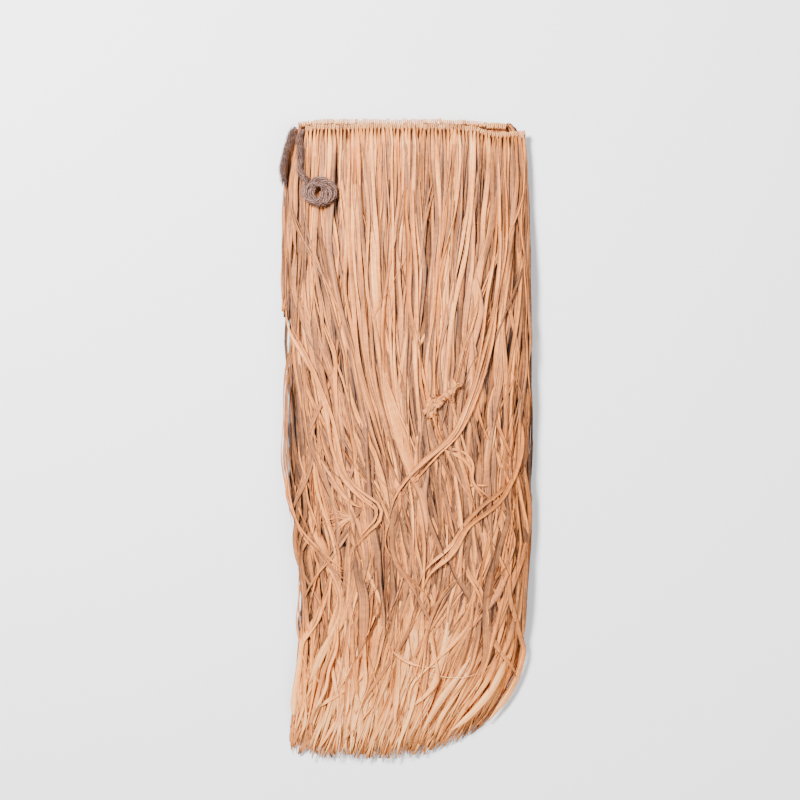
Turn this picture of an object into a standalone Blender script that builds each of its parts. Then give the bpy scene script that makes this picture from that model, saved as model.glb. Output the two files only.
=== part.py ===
"""Raffia grass skirt, laid flat on a table with its layers folded on each other.

The skirt is a long strip: raffia locks looped side by side over a jute waist cord. Folded in
four, it shows the front layer's heading and locks, the edge of the next layer's heading behind
it, the edges of the layers under them, and the two free ends of the waist cord at the left.

X runs across the fold, +Y towards the waist and +Z up off the table. Sizes are in metres, and
"below" is the distance down the skirt from the top of its heading.
"""

import math
import random
from collections import namedtuple

import bmesh
import bpy
import numpy as np

LENGTH = 0.672
WAIST_Y = LENGTH / 2
SEAM_GAP = 0.0003

# The mound of folded raffia: how far it reaches each side and how high it rises, down its length.
Section = namedtuple("Section", "below left right rise")
SECTIONS = (
    Section(0.000, -0.112, 0.108, 0.0070),
    Section(0.020, -0.119, 0.122, 0.0125),
    Section(0.060, -0.126, 0.128, 0.0190),
    Section(0.120, -0.128, 0.131, 0.0260),
    Section(0.200, -0.126, 0.132, 0.0320),
    Section(0.280, -0.123, 0.132, 0.0350),
    Section(0.360, -0.124, 0.130, 0.0360),
    Section(0.430, -0.118, 0.128, 0.0350),
    Section(0.490, -0.110, 0.126, 0.0310),
    Section(0.540, -0.109, 0.123, 0.0260),
    Section(0.580, -0.113, 0.114, 0.0200),
    Section(0.615, -0.118, 0.095, 0.0145),
    Section(0.645, -0.121, 0.068, 0.0095),
    Section(0.672, -0.121, 0.025, 0.0060),
)
DOME = 2.7
STEEPEST_AT = 0.95

# The hidden layers, one solid inside the mound, with the fold edges showing at its sides.
CORE_TOP = 0.0015
CORE_HEM = 0.632
CORE_INSET = 0.006
CORE_UNDER = 0.0002
CORE_WAIST_ROUND = 0.010
CORE_HEM_ROUND = 0.060
CORE_STEP = 0.026
CORE_FIRST_RISE = 0.35
FOLD_LAYERS = 4
FOLD_SIDE = 0.74
FOLD_GROOVE = 0.0035
CORE_RIDGES = 9
CORE_RIDGE_DEPTH = 0.0010

# The two stretches of heading that show, where raffia is looped over the waist cord.
Bend = namedtuple("Bend", "x below rise")
FRONT_HEADING = (
    Bend(-0.1070, 0.0105, 0.0142),
    Bend(-0.0910, 0.0095, 0.0152),
    Bend(-0.0500, 0.0085, 0.0162),
    Bend(-0.0070, 0.0080, 0.0166),
    Bend(0.0300, 0.0085, 0.0166),
    Bend(0.0600, 0.0100, 0.0162),
    Bend(0.0780, 0.0130, 0.0154),
    Bend(0.0900, 0.0165, 0.0144),
    Bend(0.1030, 0.0170, 0.0132),
    Bend(0.1250, 0.0150, 0.0105),
)
BACK_HEADING = (
    Bend(-0.1150, 0.0068, 0.0100),
    Bend(-0.0980, 0.0036, 0.0104),
    Bend(-0.0600, 0.0030, 0.0110),
    Bend(0.0140, 0.0030, 0.0112),
    Bend(0.0560, 0.0040, 0.0110),
    Bend(0.0860, 0.0060, 0.0106),
    Bend(0.1050, 0.0075, 0.0098),
)
HEADING_RADIUS = 0.0033
BACK_HEADING_RADIUS = 0.0030
KNOT_SWELL = 0.00035
FRONT_KNOTS = 58
BACK_KNOTS = 52
HEADING_SIDES = 6

# The narrow strip that the locks' loops make just under the heading, and that they root in.
STRIP_DEEP = 0.0030
STRIP_STEPS = 22

# Locks lie in levels on the mound, each clear of the one under it.
CLEARANCE = 0.0009
LEVEL_PITCH = 0.0016
ROOT_PITCH = 0.0008
PITCH_GROWS_FROM = 0.018
PITCH_GROWS_BY = 0.060
LOCK_THICK = 0.0010
ROOT_THICK = 0.0006
TIP_THICK = 0.0005
LOCK_STATIONS = (0.045, 0.120, 0.200, 0.285, 0.370, 0.450, 0.520, 0.575, 0.618, 0.648)
Level = namedtuple("Level", "locks squeeze lean wander turns phase fill shortest")
LEVELS = (
    Level(locks=42, squeeze=0.02, lean=0.03, wander=0.020, turns=1.3, phase=0.4, fill=0.80, shortest=0.630),
    Level(locks=42, squeeze=0.14, lean=-0.05, wander=0.030, turns=1.1, phase=2.1, fill=0.74, shortest=0.560),
    Level(locks=40, squeeze=0.24, lean=-0.12, wander=0.035, turns=1.6, phase=4.0, fill=0.66, shortest=0.450),
)
LEVEL_EDGE = 0.94
SQUEEZE_AT = 0.60
SQUEEZE_SPAN = 0.26

# How far down the locks reach, across the hem.
Point = namedtuple("Point", "x below")
HEM = (
    Point(-0.121, 0.664),
    Point(-0.060, 0.672),
    Point(-0.010, 0.669),
    Point(0.030, 0.660),
    Point(0.070, 0.645),
    Point(0.130, 0.640),
)

# Locks that cross the others, each with the level it lies on and its route from root to tip.
Crossing = namedtuple("Crossing", "name level width route")
CROSSINGS = (
    Crossing("long_diagonal", 3, 0.0058, (
        Point(0.098, 0.060), Point(0.085, 0.180), Point(0.064, 0.290), Point(0.026, 0.350),
        Point(-0.012, 0.393), Point(-0.022, 0.440), Point(-0.034, 0.505))),
    Crossing("long_diagonal_under", 4, 0.0040, (
        Point(0.104, 0.060), Point(0.097, 0.180), Point(0.074, 0.290), Point(0.036, 0.352),
        Point(-0.003, 0.402), Point(-0.012, 0.450), Point(-0.020, 0.520))),
    Crossing("left_sweep", 5, 0.0062, (
        Point(-0.095, 0.080), Point(-0.092, 0.200), Point(-0.084, 0.300), Point(-0.070, 0.365),
        Point(-0.046, 0.398), Point(-0.030, 0.415), Point(-0.036, 0.440), Point(-0.066, 0.474))),
    Crossing("left_fall", 3, 0.0060, (
        Point(-0.104, 0.080), Point(-0.100, 0.160), Point(-0.088, 0.240), Point(-0.072, 0.310),
        Point(-0.061, 0.380), Point(-0.062, 0.450))),
    Crossing("right_leaf", 4, 0.0085, (
        Point(0.118, 0.080), Point(0.122, 0.200), Point(0.120, 0.320), Point(0.108, 0.385),
        Point(0.080, 0.412), Point(0.042, 0.450), Point(0.018, 0.505))),
    Crossing("outer_loop", 3, 0.0030, (
        Point(-0.106, 0.100), Point(-0.116, 0.240), Point(-0.128, 0.310), Point(-0.129, 0.365),
        Point(-0.118, 0.430), Point(-0.096, 0.490))),
    Crossing("outer_loop_low", 4, 0.0028, (
        Point(-0.108, 0.100), Point(-0.121, 0.260), Point(-0.131, 0.330), Point(-0.131, 0.385),
        Point(-0.122, 0.450), Point(-0.108, 0.520), Point(-0.104, 0.560))),
    Crossing("right_edge", 3, 0.0045, (
        Point(0.122, 0.080), Point(0.129, 0.180), Point(0.1315, 0.300), Point(0.130, 0.420),
        Point(0.126, 0.520), Point(0.120, 0.565))),
)
CROSSING_STEP = 0.034
CROSSING_BASE = 3
CROSSINGS_RISE_FROM = 0.110
CROSSINGS_RISE_BY = 0.240

# Shorter locks of the layers under the front one: at the left edge, and all along the hem.
LEFT_STRIP_X = (-0.1252, -0.1098)
LEFT_STRIP_BELOW = 0.0120
LEFT_STRIP_RISE = 0.0042
LEFT_STATIONS = (0.050, 0.100, 0.150, 0.190)
Under = namedtuple("Under", "root_x tip_x tip_below width rise")
LEFT_LOCKS = (
    Under(-0.1238, -0.1308, 0.212, 0.0028, 0.0040),
    Under(-0.1212, -0.1276, 0.214, 0.0026, 0.0042),
    Under(-0.1186, -0.1243, 0.205, 0.0026, 0.0046),
)
HEM_LOCKS = 40
HEM_STRIP_BELOW = 0.0006
HEM_STRIP_TALL = 0.0022
HEM_STRIP_RISE = 0.0008
HEM_LOCK_RISE = 0.0014
HEM_SPREAD = 1.04
HEM_LOCK_THICK = 0.0009
HEM_REACH = (0.55, 1.0)

# The jute waist cord's two free ends at the left, one of them gathered in a loose hank.
TIE_RADIUS = 0.0020
TIE_SIDES_RESOLUTION = 2
TIE_OVER_LOCKS = 0.0091
SHORT_TIE = (
    Point(-0.1170, 0.0080),
    Point(-0.1206, 0.0132),
    Point(-0.1250, 0.0260),
    Point(-0.1285, 0.0390),
    Point(-0.1310, 0.0520),
    Point(-0.1300, 0.0640),
)
SHORT_TIE_RISE = 0.0135
LONG_TIE = (
    Point(-0.1091, 0.0108),
    Point(-0.1130, 0.0190),
    Point(-0.1126, 0.0305),
    Point(-0.1122, 0.0440),
    Point(-0.1118, 0.0560),
    Point(-0.1055, 0.0652),
)
LONG_TIE_LIFT = 0.0030
TIE_STEP = 0.007
HANK_CENTRE = Point(-0.0915, 0.0772)
HANK_REACH = (0.0190, 0.0150)
HANK_TURN = math.radians(-14)
HANK_THICK = 0.0052
HANK_RING = 0.0062
HANK_STEPS = 26
HANK_SIDES = 8

# Colours and finishes, as linear red, green and blue, then roughness.
Finish = namedtuple("Finish", "red green blue roughness")
RAFFIA = Finish(0.686, 0.392, 0.246, 0.62)
RAFFIA_SHADED = Finish(0.560, 0.290, 0.165, 0.66)
HEADING_RAFFIA = Finish(0.740, 0.500, 0.350, 0.60)
JUTE = Finish(0.328, 0.188, 0.147, 0.85)


def smooth(xs, ys, x):
    """A cubic curve through the points (xs, ys), read at x and held level past its ends."""
    xs = np.asarray(xs, float)
    ys = np.asarray(ys, float)
    slopes = np.gradient(ys, xs)
    i = np.clip(np.searchsorted(xs, x) - 1, 0, len(xs) - 2)
    span = xs[i + 1] - xs[i]
    t = np.clip((x - xs[i]) / span, 0, 1)
    rise = ys[i] * (2 * t**3 - 3 * t**2 + 1) + ys[i + 1] * (3 * t**2 - 2 * t**3)
    return rise + span * (slopes[i] * (t**3 - 2 * t**2 + t) + slopes[i + 1] * (t**3 - t**2))


def section(name, below):
    """One column of the mound's sections, at a distance below the heading."""
    return smooth([s.below for s in SECTIONS], [getattr(s, name) for s in SECTIONS], below)


def centre_and_half(below):
    """The middle of the mound and half its width."""
    left, right = section("left", below), section("right", below)
    return (left + right) / 2, (right - left) / 2


def dome(share):
    """Height across a rounded section, 1 in the middle and 0 at its edge."""
    return (1 - np.clip(np.abs(share), 0, 1) ** DOME) ** (1 / DOME)


def surface(x, below):
    """Height of the mound that the locks lie on, which keeps one slope near its edges."""
    centre, half = centre_and_half(below)
    share = np.abs(x - centre) / half
    inner = np.minimum(share, STEEPEST_AT)
    slope = STEEPEST_AT ** (DOME - 1) * (1 - STEEPEST_AT**DOME) ** (1 / DOME - 1)
    return section("rise", below) * np.maximum(dome(inner) - slope * (share - inner), 0)


def rounded_end(distance, over):
    """1 further than over from an end, and falling to 0 at it in a quarter circle."""
    share = 1 - np.clip(distance / over, 0, 1)
    return np.sqrt(1 - share**2)


def across(route, x, column="below"):
    """How far below the top, or how high, a heading's or a hem's line runs at x."""
    return smooth([p.x for p in route], [getattr(p, column) for p in route], x)


def along(route, step):
    """Points on a smooth curve through a route, about a step apart."""
    xs = np.array([p.x for p in route])
    belows = np.array([p.below for p in route])
    reach = np.concatenate([[0], np.cumsum(np.hypot(np.diff(xs), np.diff(belows)))])
    at = np.linspace(0, reach[-1], max(2, round(reach[-1] / step)) + 1)
    return np.stack([smooth(reach, xs, at), smooth(reach, belows, at)], axis=1)


def material(name, finish):
    """A plain finish, made once for each name."""
    found = bpy.data.materials.get(name)
    if found:
        return found
    made = bpy.data.materials.new(name)
    made.use_nodes = True
    shader = made.node_tree.nodes["Principled BSDF"]
    shader.inputs["Base Color"].default_value = (finish.red, finish.green, finish.blue, 1)
    shader.inputs["Roughness"].default_value = finish.roughness
    shader.inputs["Metallic"].default_value = 0
    made.diffuse_color = (finish.red, finish.green, finish.blue, 1)
    return made


def object_of(name, mesh, finish_name, finish):
    """An object with its material, in the scene."""
    obj = bpy.data.objects.new(name, mesh)
    bpy.context.scene.collection.objects.link(obj)
    mesh.materials.append(material(finish_name, finish))
    return obj


def mesh_of(name, build):
    """A mesh that build fills, closed and with its faces pointing out."""
    bm = bmesh.new()
    build(bm)
    bmesh.ops.recalc_face_normals(bm, faces=bm.faces)
    mesh = bpy.data.meshes.new(name)
    bm.to_mesh(mesh)
    bm.free()
    return mesh


def loft(bm, rings):
    """A closed skin over rings of points, with a flat cap on each end."""
    rows = [[bm.verts.new(point) for point in ring] for ring in rings]
    for lower, upper in zip(rows, rows[1:]):
        for i in range(len(lower)):
            j = (i + 1) % len(lower)
            bm.faces.new((lower[i], lower[j], upper[j], upper[i]))
    bm.faces.new(rows[0])
    bm.faces.new(rows[-1])


def core_height(below):
    """Height of the hidden layers' top, rounded off at the waist and the hem."""
    waist = rounded_end(below - CORE_TOP, CORE_WAIST_ROUND)
    hem = rounded_end(CORE_HEM - below, CORE_HEM_ROUND)
    return (section("rise", below) - CORE_UNDER) * waist * hem


def core_stations():
    """Where the hidden layers' sections stand, closer together where the ends round off."""
    waist = [CORE_TOP + CORE_WAIST_ROUND * share for share in (0.06, 0.25, 0.55, 1.0)]
    hem = [CORE_HEM - CORE_HEM_ROUND * share for share in (1.0, 0.62, 0.32, 0.12, 0.02)]
    steps = round((hem[0] - waist[-1]) / CORE_STEP)
    middle = [waist[-1] + (hem[0] - waist[-1]) * i / steps for i in range(1, steps)]
    return waist + middle + hem


def core_ring(below):
    """One section of the hidden layers: flat below, grooved between folds at its sides."""
    centre, half = centre_and_half(below)
    half = half - CORE_INSET
    high = core_height(below)
    groove = FOLD_GROOVE * high / max(s.rise for s in SECTIONS)
    side = []
    for i in range(2 * FOLD_LAYERS + 1):
        share = FOLD_SIDE * i / (2 * FOLD_LAYERS)
        inset = groove if i % 2 == 0 else 0
        side.append((half * dome(share) - inset, high * share))
    edge = float(dome(FOLD_SIDE))
    top = []
    for i in range(1, 2 * CORE_RIDGES):
        share = edge * (1 - i / CORE_RIDGES)
        dip = CORE_RIDGE_DEPTH * (high / max(s.rise for s in SECTIONS)) * (i % 2)
        top.append((half * share, high * float(dome(share)) - dip))
    ring = side + top + [(-x, z) for x, z in reversed(side)]
    return [(centre + x, WAIST_Y - below, z) for x, z in ring]


def folded_layers():
    """The layers that the front one covers, as one rounded solid that lies flat on the table."""
    mesh = mesh_of("folded_layers", lambda bm: loft(bm, [core_ring(b) for b in core_stations()]))
    return object_of("folded_layers", mesh, "raffia_shaded", RAFFIA_SHADED)


def heading(name, route, radius, knots):
    """A stretch of looped heading: a thin roll that swells at each loop."""
    start, end = route[0].x, route[-1].x
    rings = []
    for i in range(2 * knots + 1):
        x = start + (end - start) * i / (2 * knots)
        below = float(across(route, x))
        rise = float(across(route, x, "rise"))
        size = radius + (KNOT_SWELL if i % 2 else -KNOT_SWELL)
        ring = []
        for side in range(HEADING_SIDES):
            angle = 2 * math.pi * (side + 0.5) / HEADING_SIDES
            ring.append((x, WAIST_Y - below + size * math.cos(angle), rise + size * math.sin(angle)))
        rings.append(ring)
    mesh = mesh_of(name, lambda bm: loft(bm, rings))
    return object_of(name, mesh, "raffia_heading", HEADING_RAFFIA)


def bar(bm, points):
    """A strip with a rectangular section that follows points of x, below, lowest and highest."""
    rings = []
    for x, below, low, high in points:
        front, back = WAIST_Y - below - STRIP_DEEP / 2, WAIST_Y - below + STRIP_DEEP / 2
        rings.append([(x, front, low), (x, back, low), (x, back, high), (x, front, high)])
    loft(bm, rings)


def front_strip_below(x):
    """The middle of the front strip, just clear of the heading's roll."""
    return across(FRONT_HEADING, x) + HEADING_RADIUS + KNOT_SWELL + 2 * SEAM_GAP + STRIP_DEEP / 2


def lock_rise(x, below, level):
    """Height of a lock's underside on one of the levels."""
    grown = np.clip((below - PITCH_GROWS_FROM) / (PITCH_GROWS_BY - PITCH_GROWS_FROM), 0, 1)
    pitch = ROOT_PITCH + (LEVEL_PITCH - ROOT_PITCH) * grown
    return surface(x, below) + CLEARANCE + level * pitch


def crossing_rise(x, below, level):
    """Height of a crossing lock, which stays low where the waist cord's hank lies."""
    risen = np.clip((below - CROSSINGS_RISE_FROM) / (CROSSINGS_RISE_BY - CROSSINGS_RISE_FROM), 0, 1)
    return lock_rise(x, below, CROSSING_BASE + (level - CROSSING_BASE) * risen)


def lock(bm, stations):
    """One lock with three sides: flat underneath, and a ridge along its top.

    Each station is its left, right and ridge point."""
    loft(bm, stations)


def lane_flow(level, roots, below):
    """Where a level's locks lie across the mound, from -1 to 1, so that none crosses its neighbour."""
    share = below / LENGTH
    ease = share * share * (3 - 2 * share)
    squeeze = level.squeeze * math.exp(-(((share - SQUEEZE_AT) / SQUEEZE_SPAN) ** 2))
    swing = level.wander * math.sin(2 * math.pi * level.turns * share + level.phase)
    return roots * (1 - squeeze) + (level.lean * ease + swing * ease**0.5) * (1 - roots**2)


def lanes(level, chance):
    """Roots of a level's locks, unevenly spaced from -1 to 1, and each lock's share of its lane."""
    gaps = np.array([chance.uniform(0.6, 1.5) for _ in range(level.locks + 1)])
    roots = LEVEL_EDGE * (2 * np.cumsum(gaps)[:-1] / gaps.sum() - 1)
    shares = np.array([chance.uniform(0.75, 1.0) for _ in range(level.locks)])
    return roots, level.fill * shares


def lane_widths(xs, shares):
    """Widths that leave each lock clear of its neighbours at one station."""
    between = np.diff(xs)
    lane = np.minimum(np.concatenate([[between[0]], between]), np.concatenate([between, [between[-1]]]))
    return lane * shares


def level_row(level, roots, shares, below):
    """Across positions and widths of a level's locks at one station."""
    centre, half = centre_and_half(below)
    xs = centre + half * lane_flow(level, roots, below)
    return xs, lane_widths(xs, shares)


def lock_station(x, below, level, width, thick, ridge):
    """The three corners of a lock where it crosses one station."""
    left, right, top = x - width / 2, x + width / 2, x + ridge * width
    y = WAIST_Y - below
    return [
        (left, y, float(lock_rise(left, below, level))),
        (right, y, float(lock_rise(right, below, level))),
        (top, y, float(lock_rise(top, below, level)) + thick),
    ]


def level_locks(bm, number, level, chance):
    """All the locks of one level, from the strip to the hem."""
    roots, shares = lanes(level, chance)
    start, end = FRONT_HEADING[0].x + 0.002, FRONT_HEADING[-1].x - 0.002
    root_xs = start + (end - start) * (roots / LEVEL_EDGE + 1) / 2
    root_widths = lane_widths(root_xs, shares)
    rows = [(below, *level_row(level, roots, shares, below)) for below in LOCK_STATIONS]
    for i in range(level.locks):
        ridge = chance.uniform(-0.3, 0.3)
        root_below = float(front_strip_below(root_xs[i]))
        stations = [lock_station(root_xs[i], root_below, number, root_widths[i], ROOT_THICK, ridge)]
        hem_x = level_row(level, roots, shares, LENGTH)[0][i]
        longest = float(across(HEM, hem_x))
        tip = longest - chance.random() ** 2 * (longest - level.shortest)
        for below, xs, widths in rows:
            if below < tip - 0.015:
                stations.append(lock_station(xs[i], below, number, widths[i], LOCK_THICK, ridge))
        xs, widths = level_row(level, roots, shares, tip)
        stations.append(lock_station(xs[i], tip, number, 0.45 * widths[i], TIP_THICK, ridge))
        lock(bm, stations)


def crossing_lock(bm, row):
    """A lock that crosses the others on its own level, along a hand-set route."""
    root_x = row.route[0].x
    root = Point(root_x, float(front_strip_below(root_x)))
    points = along((root,) + row.route, CROSSING_STEP)
    ahead = np.gradient(points, axis=0)
    ahead /= np.linalg.norm(ahead, axis=1)[:, None]
    stations = []
    for i, (x, below) in enumerate(points):
        share = i / (len(points) - 1)
        width = row.width * min(1.0, 0.35 + 3 * share, 0.3 + 3 * (1 - share))
        side = np.array([ahead[i, 1], -ahead[i, 0]]) * width / 2
        thick = ROOT_THICK if i == 0 else LOCK_THICK
        corners = []
        for sign in (-1, 1):
            at = (x + sign * side[0], below + sign * side[1])
            corners.append((at[0], WAIST_Y - at[1], float(crossing_rise(*at, row.level))))
        corners.append((x, WAIST_Y - below, float(crossing_rise(x, below, row.level)) + thick))
        stations.append(corners)
    lock(bm, stations)


def rooted(name, strip_mesh, locks_mesh, finish_name, finish):
    """Locks fused at their roots to the narrow strip that holds them."""
    obj = object_of(name, strip_mesh, finish_name, finish)
    locks = object_of(name + "_locks", locks_mesh, finish_name, finish)
    locks.hide_render = True
    locks.display_type = "WIRE"
    union = obj.modifiers.new("roots", "BOOLEAN")
    union.operation = "UNION"
    union.solver = "EXACT"
    union.use_self = True
    union.object = locks
    return obj


def front_fringe():
    """The front layer's locks, in three levels with the crossing ones on top."""
    start, end = FRONT_HEADING[0].x, FRONT_HEADING[-1].x

    def strip(bm):
        points = []
        for i in range(STRIP_STEPS + 1):
            x = start + (end - start) * i / STRIP_STEPS
            below = float(front_strip_below(x))
            low = float(surface(x, below)) + CLEARANCE / 2
            points.append((x, below, low, float(across(FRONT_HEADING, x, "rise"))))
        bar(bm, points)

    def locks(bm):
        chance = random.Random(7)
        for number, level in enumerate(LEVELS):
            level_locks(bm, number, level, chance)
        for row in CROSSINGS:
            crossing_lock(bm, row)

    strip_mesh = mesh_of("fringe_front", strip)
    return rooted("fringe_front", strip_mesh, mesh_of("front_locks", locks), "raffia", RAFFIA)


def left_fringe():
    """Locks of a lower layer that show at the left edge and end a third of the way down."""
    def strip(bm):
        low, high = LEFT_STRIP_RISE - STRIP_DEEP / 2, LEFT_STRIP_RISE + STRIP_DEEP / 2
        bar(bm, [(x, LEFT_STRIP_BELOW, low, high) for x in LEFT_STRIP_X])

    def locks(bm):
        for row in LEFT_LOCKS:
            belows = (LEFT_STRIP_BELOW,) + LEFT_STATIONS + (row.tip_below,)
            stations = []
            for i, below in enumerate(belows):
                share = (below - belows[0]) / (belows[-1] - belows[0])
                x = row.root_x + (row.tip_x - row.root_x) * min(1, 2.2 * share) ** 0.8
                width = row.width * (0.6 if i in (0, len(belows) - 1) else 1)
                low = LEFT_STRIP_RISE + (row.rise - LEFT_STRIP_RISE) * min(1, 3 * share)
                y = WAIST_Y - below
                stations.append([
                    (x - width / 2, y, low - 0.0006),
                    (x + width / 2, y, low),
                    (x, y, low + LOCK_THICK),
                ])
            lock(bm, stations)

    strip_mesh = mesh_of("fringe_left", strip)
    return rooted("fringe_left", strip_mesh, mesh_of("left_locks", locks), "raffia", RAFFIA)


def hem_fringe():
    """Ends of the hidden layers' locks, fanned out from a narrow strip along their hem."""
    below = CORE_HEM + HEM_STRIP_BELOW
    centre, half = centre_and_half(below)
    half = half - CORE_INSET
    start, end = float(centre - half), float(centre + half)

    def strip(bm):
        low, high = HEM_STRIP_RISE, HEM_STRIP_RISE + HEM_STRIP_TALL
        bar(bm, [(x, below, low, high) for x in (start, end)])

    def locks(bm):
        chance = random.Random(11)
        pitch = (end - start) / HEM_LOCKS
        for i in range(HEM_LOCKS):
            root_x = start + pitch * (i + 0.5)
            reach_x = float(centre) + (root_x - float(centre)) * HEM_SPREAD
            longest = float(across(HEM, reach_x)) - below
            tip = below + longest * chance.uniform(*HEM_REACH)
            width = pitch * chance.uniform(0.5, 0.8)
            stations = []
            for share in (0, 0.4, 1):
                at = below + (tip - below) * share
                place = centre_and_half(at)
                x = float(place[0]) + (root_x - float(centre)) / float(half) * float(place[1] - 0.004)
                size = width * (1 - 0.45 * share) * float(place[1] / (half + CORE_INSET))
                low = HEM_LOCK_RISE
                stations.append([
                    (x - size / 2, WAIST_Y - at, low),
                    (x + size / 2, WAIST_Y - at, low),
                    (x, WAIST_Y - at, low + HEM_LOCK_THICK),
                ])
            lock(bm, stations)

    strip_mesh = mesh_of("fringe_hem", strip)
    return rooted("fringe_hem", strip_mesh, mesh_of("hem_locks", locks), "raffia_shaded", RAFFIA_SHADED)


def cord(name, places):
    """A plain round length of waist cord through places of x, below and height."""
    curve = bpy.data.curves.new(name, "CURVE")
    curve.dimensions = "3D"
    curve.bevel_depth = TIE_RADIUS
    curve.bevel_resolution = TIE_SIDES_RESOLUTION
    curve.use_fill_caps = True
    spline = curve.splines.new("POLY")
    spline.points.add(len(places) - 1)
    for point, (x, below, z) in zip(spline.points, places):
        point.co = (x, WAIST_Y - below, z, 1)
    obj = bpy.data.objects.new(name, curve)
    bpy.context.scene.collection.objects.link(obj)
    curve.materials.append(material("jute", JUTE))
    return obj


def short_tie():
    """The end of the waist cord that falls down the left edge."""
    points = along(SHORT_TIE, TIE_STEP)
    last = len(points) - 1
    places = []
    start = BACK_HEADING[0].rise
    for i, (x, below) in enumerate(points):
        places.append((x, below, start + (SHORT_TIE_RISE - start) * min(1, 3 * i / last)))
    return cord("tie_short", places)


def long_tie():
    """The other end, which lies on the front locks as far as its hank."""
    points = along(LONG_TIE, TIE_STEP)
    last = len(points) - 1
    places = []
    start = FRONT_HEADING[0].rise
    for i, (x, below) in enumerate(points):
        high = float(surface(x, below)) + TIE_OVER_LOCKS + LONG_TIE_LIFT * (i / last) ** 2
        places.append((x, below, start + (high - start) * min(1, 3 * i / last)))
    return cord("tie_long", places)


def hank():
    """The outer shape of the loose hank: an oval ring that follows the locks' slope."""
    rings = []
    for i in range(HANK_STEPS):
        turn = 2 * math.pi * i / HANK_STEPS
        ring = []
        for side in range(HANK_SIDES):
            angle = 2 * math.pi * side / HANK_SIDES
            out = HANK_RING * math.cos(angle)
            a = (HANK_REACH[0] - HANK_RING + out) * math.cos(turn)
            b = (HANK_REACH[1] - HANK_RING + out) * math.sin(turn)
            x = HANK_CENTRE.x + a * math.cos(HANK_TURN) - b * math.sin(HANK_TURN)
            below = HANK_CENTRE.below - a * math.sin(HANK_TURN) - b * math.cos(HANK_TURN)
            low = float(surface(x, below)) + TIE_OVER_LOCKS - TIE_RADIUS
            ring.append((x, WAIST_Y - below, low + HANK_THICK * (1 + math.sin(angle))))
        rings.append(ring)

    def build(bm):
        rows = [[bm.verts.new(point) for point in ring] for ring in rings]
        for i, row in enumerate(rows):
            after = rows[(i + 1) % len(rows)]
            for j in range(HANK_SIDES):
                k = (j + 1) % HANK_SIDES
                bm.faces.new((row[j], row[k], after[k], after[j]))

    return object_of("tie_hank", mesh_of("tie_hank", build), "jute", JUTE)


def main():
    """Clears the scene and builds the skirt."""
    for obj in list(bpy.data.objects):
        bpy.data.objects.remove(obj)
    folded_layers()
    heading("heading_front", FRONT_HEADING, HEADING_RADIUS, FRONT_KNOTS)
    heading("heading_back", BACK_HEADING, BACK_HEADING_RADIUS, BACK_KNOTS)
    front_fringe()
    left_fringe()
    hem_fringe()
    short_tie()
    long_tie()
    hank()


main()
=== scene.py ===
"""A raffia grass skirt laid flat in folded layers, dressed strand by strand in a plain studio.

Lengths are in metres in the model's frame: X across the fold, +Y towards the waist, +Z up off
the table. "Below" is the distance down the skirt from the top of its heading.
"""

import logging
import math
from dataclasses import dataclass, field
from enum import Enum

import bmesh
import bpy
import numpy as np
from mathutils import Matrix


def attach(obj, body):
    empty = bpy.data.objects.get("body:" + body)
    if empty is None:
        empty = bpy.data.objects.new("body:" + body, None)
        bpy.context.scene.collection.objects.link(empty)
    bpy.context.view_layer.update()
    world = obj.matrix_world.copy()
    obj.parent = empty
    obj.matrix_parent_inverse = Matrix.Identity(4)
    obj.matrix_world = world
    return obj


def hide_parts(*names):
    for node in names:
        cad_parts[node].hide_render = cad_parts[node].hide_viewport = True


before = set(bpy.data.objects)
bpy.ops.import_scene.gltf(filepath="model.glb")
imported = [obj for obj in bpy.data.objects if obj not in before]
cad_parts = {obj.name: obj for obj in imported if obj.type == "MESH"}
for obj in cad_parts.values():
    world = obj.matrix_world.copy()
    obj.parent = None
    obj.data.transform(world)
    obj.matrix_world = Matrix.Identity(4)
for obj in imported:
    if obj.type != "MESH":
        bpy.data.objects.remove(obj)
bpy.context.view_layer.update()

LOG = logging.getLogger("grass_skirt")

LENGTH = 0.672
WAIST_Y = LENGTH / 2
LEAST_HEIGHT = 0.00006
CORNERS = 4
GOLDEN_SHARE = 0.6180339
ROUTE_STEPS_A_METRE = 10000
UPWARD = np.array([0.0, 0.0, 1.0])
RIBBON_COLUMNS = ("lines", "facing", "widths", "twists", "folds", "tones")


class Rising(Enum):
    """Where strands come up from under others: the least and greatest distance below the waist."""

    BESIDE = (0.09, 0.44)
    WITHIN = (0.16, 0.52)


@dataclass(frozen=True)
class Section:
    """The mound of folded raffia at one distance below the waist."""

    below: float
    left: float
    right: float
    rise: float


@dataclass(frozen=True)
class Bend:
    """One bend of a heading's line: where it is and how high it lies."""

    x: float
    below: float
    rise: float


@dataclass(frozen=True)
class Point:
    """A place on the skirt seen from above."""

    x: float
    below: float


@dataclass(frozen=True)
class Lean:
    """How far strands step to the right for each step down, in seven columns across."""

    below: float
    far_left: float
    left: float
    mid_left: float
    middle: float
    mid_right: float
    right: float
    far_right: float

    def row(self) -> list[float]:
        """The seven leans from left to right."""
        return [self.far_left, self.left, self.mid_left, self.middle,
                self.mid_right, self.right, self.far_right]


@dataclass(frozen=True)
class Ply:
    """One depth of strands: how many, how high they lie, how wide they are and how they run.

    Strands come out of the heading's knots, from the layers under the two sides, or from
    between other strands further down.
    """

    knotted: int
    from_sides: int
    from_within: int
    low: float
    high: float
    width: float
    pull: float
    sway: float
    # Set darker for deeper plies, as painted shade between and under the strands above, with random spread.
    tone: float
    shorter: float
    spread: float = 0.42
    reach: tuple[float, float] = (1.0, 1.0)


@dataclass(frozen=True)
class Route:
    """Strands that are placed along listed points, side by side, from their roots to their tips.

    Each point is a place across the skirt and a distance below the waist, in tenths of a millimetre.
    The other sizes are in metres.
    """

    name: str
    lift: float
    width: float
    tone: float
    points: tuple[tuple[int, int], ...]
    rooted: bool = False
    strands: int = 1
    fill: float = 1.15


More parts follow.
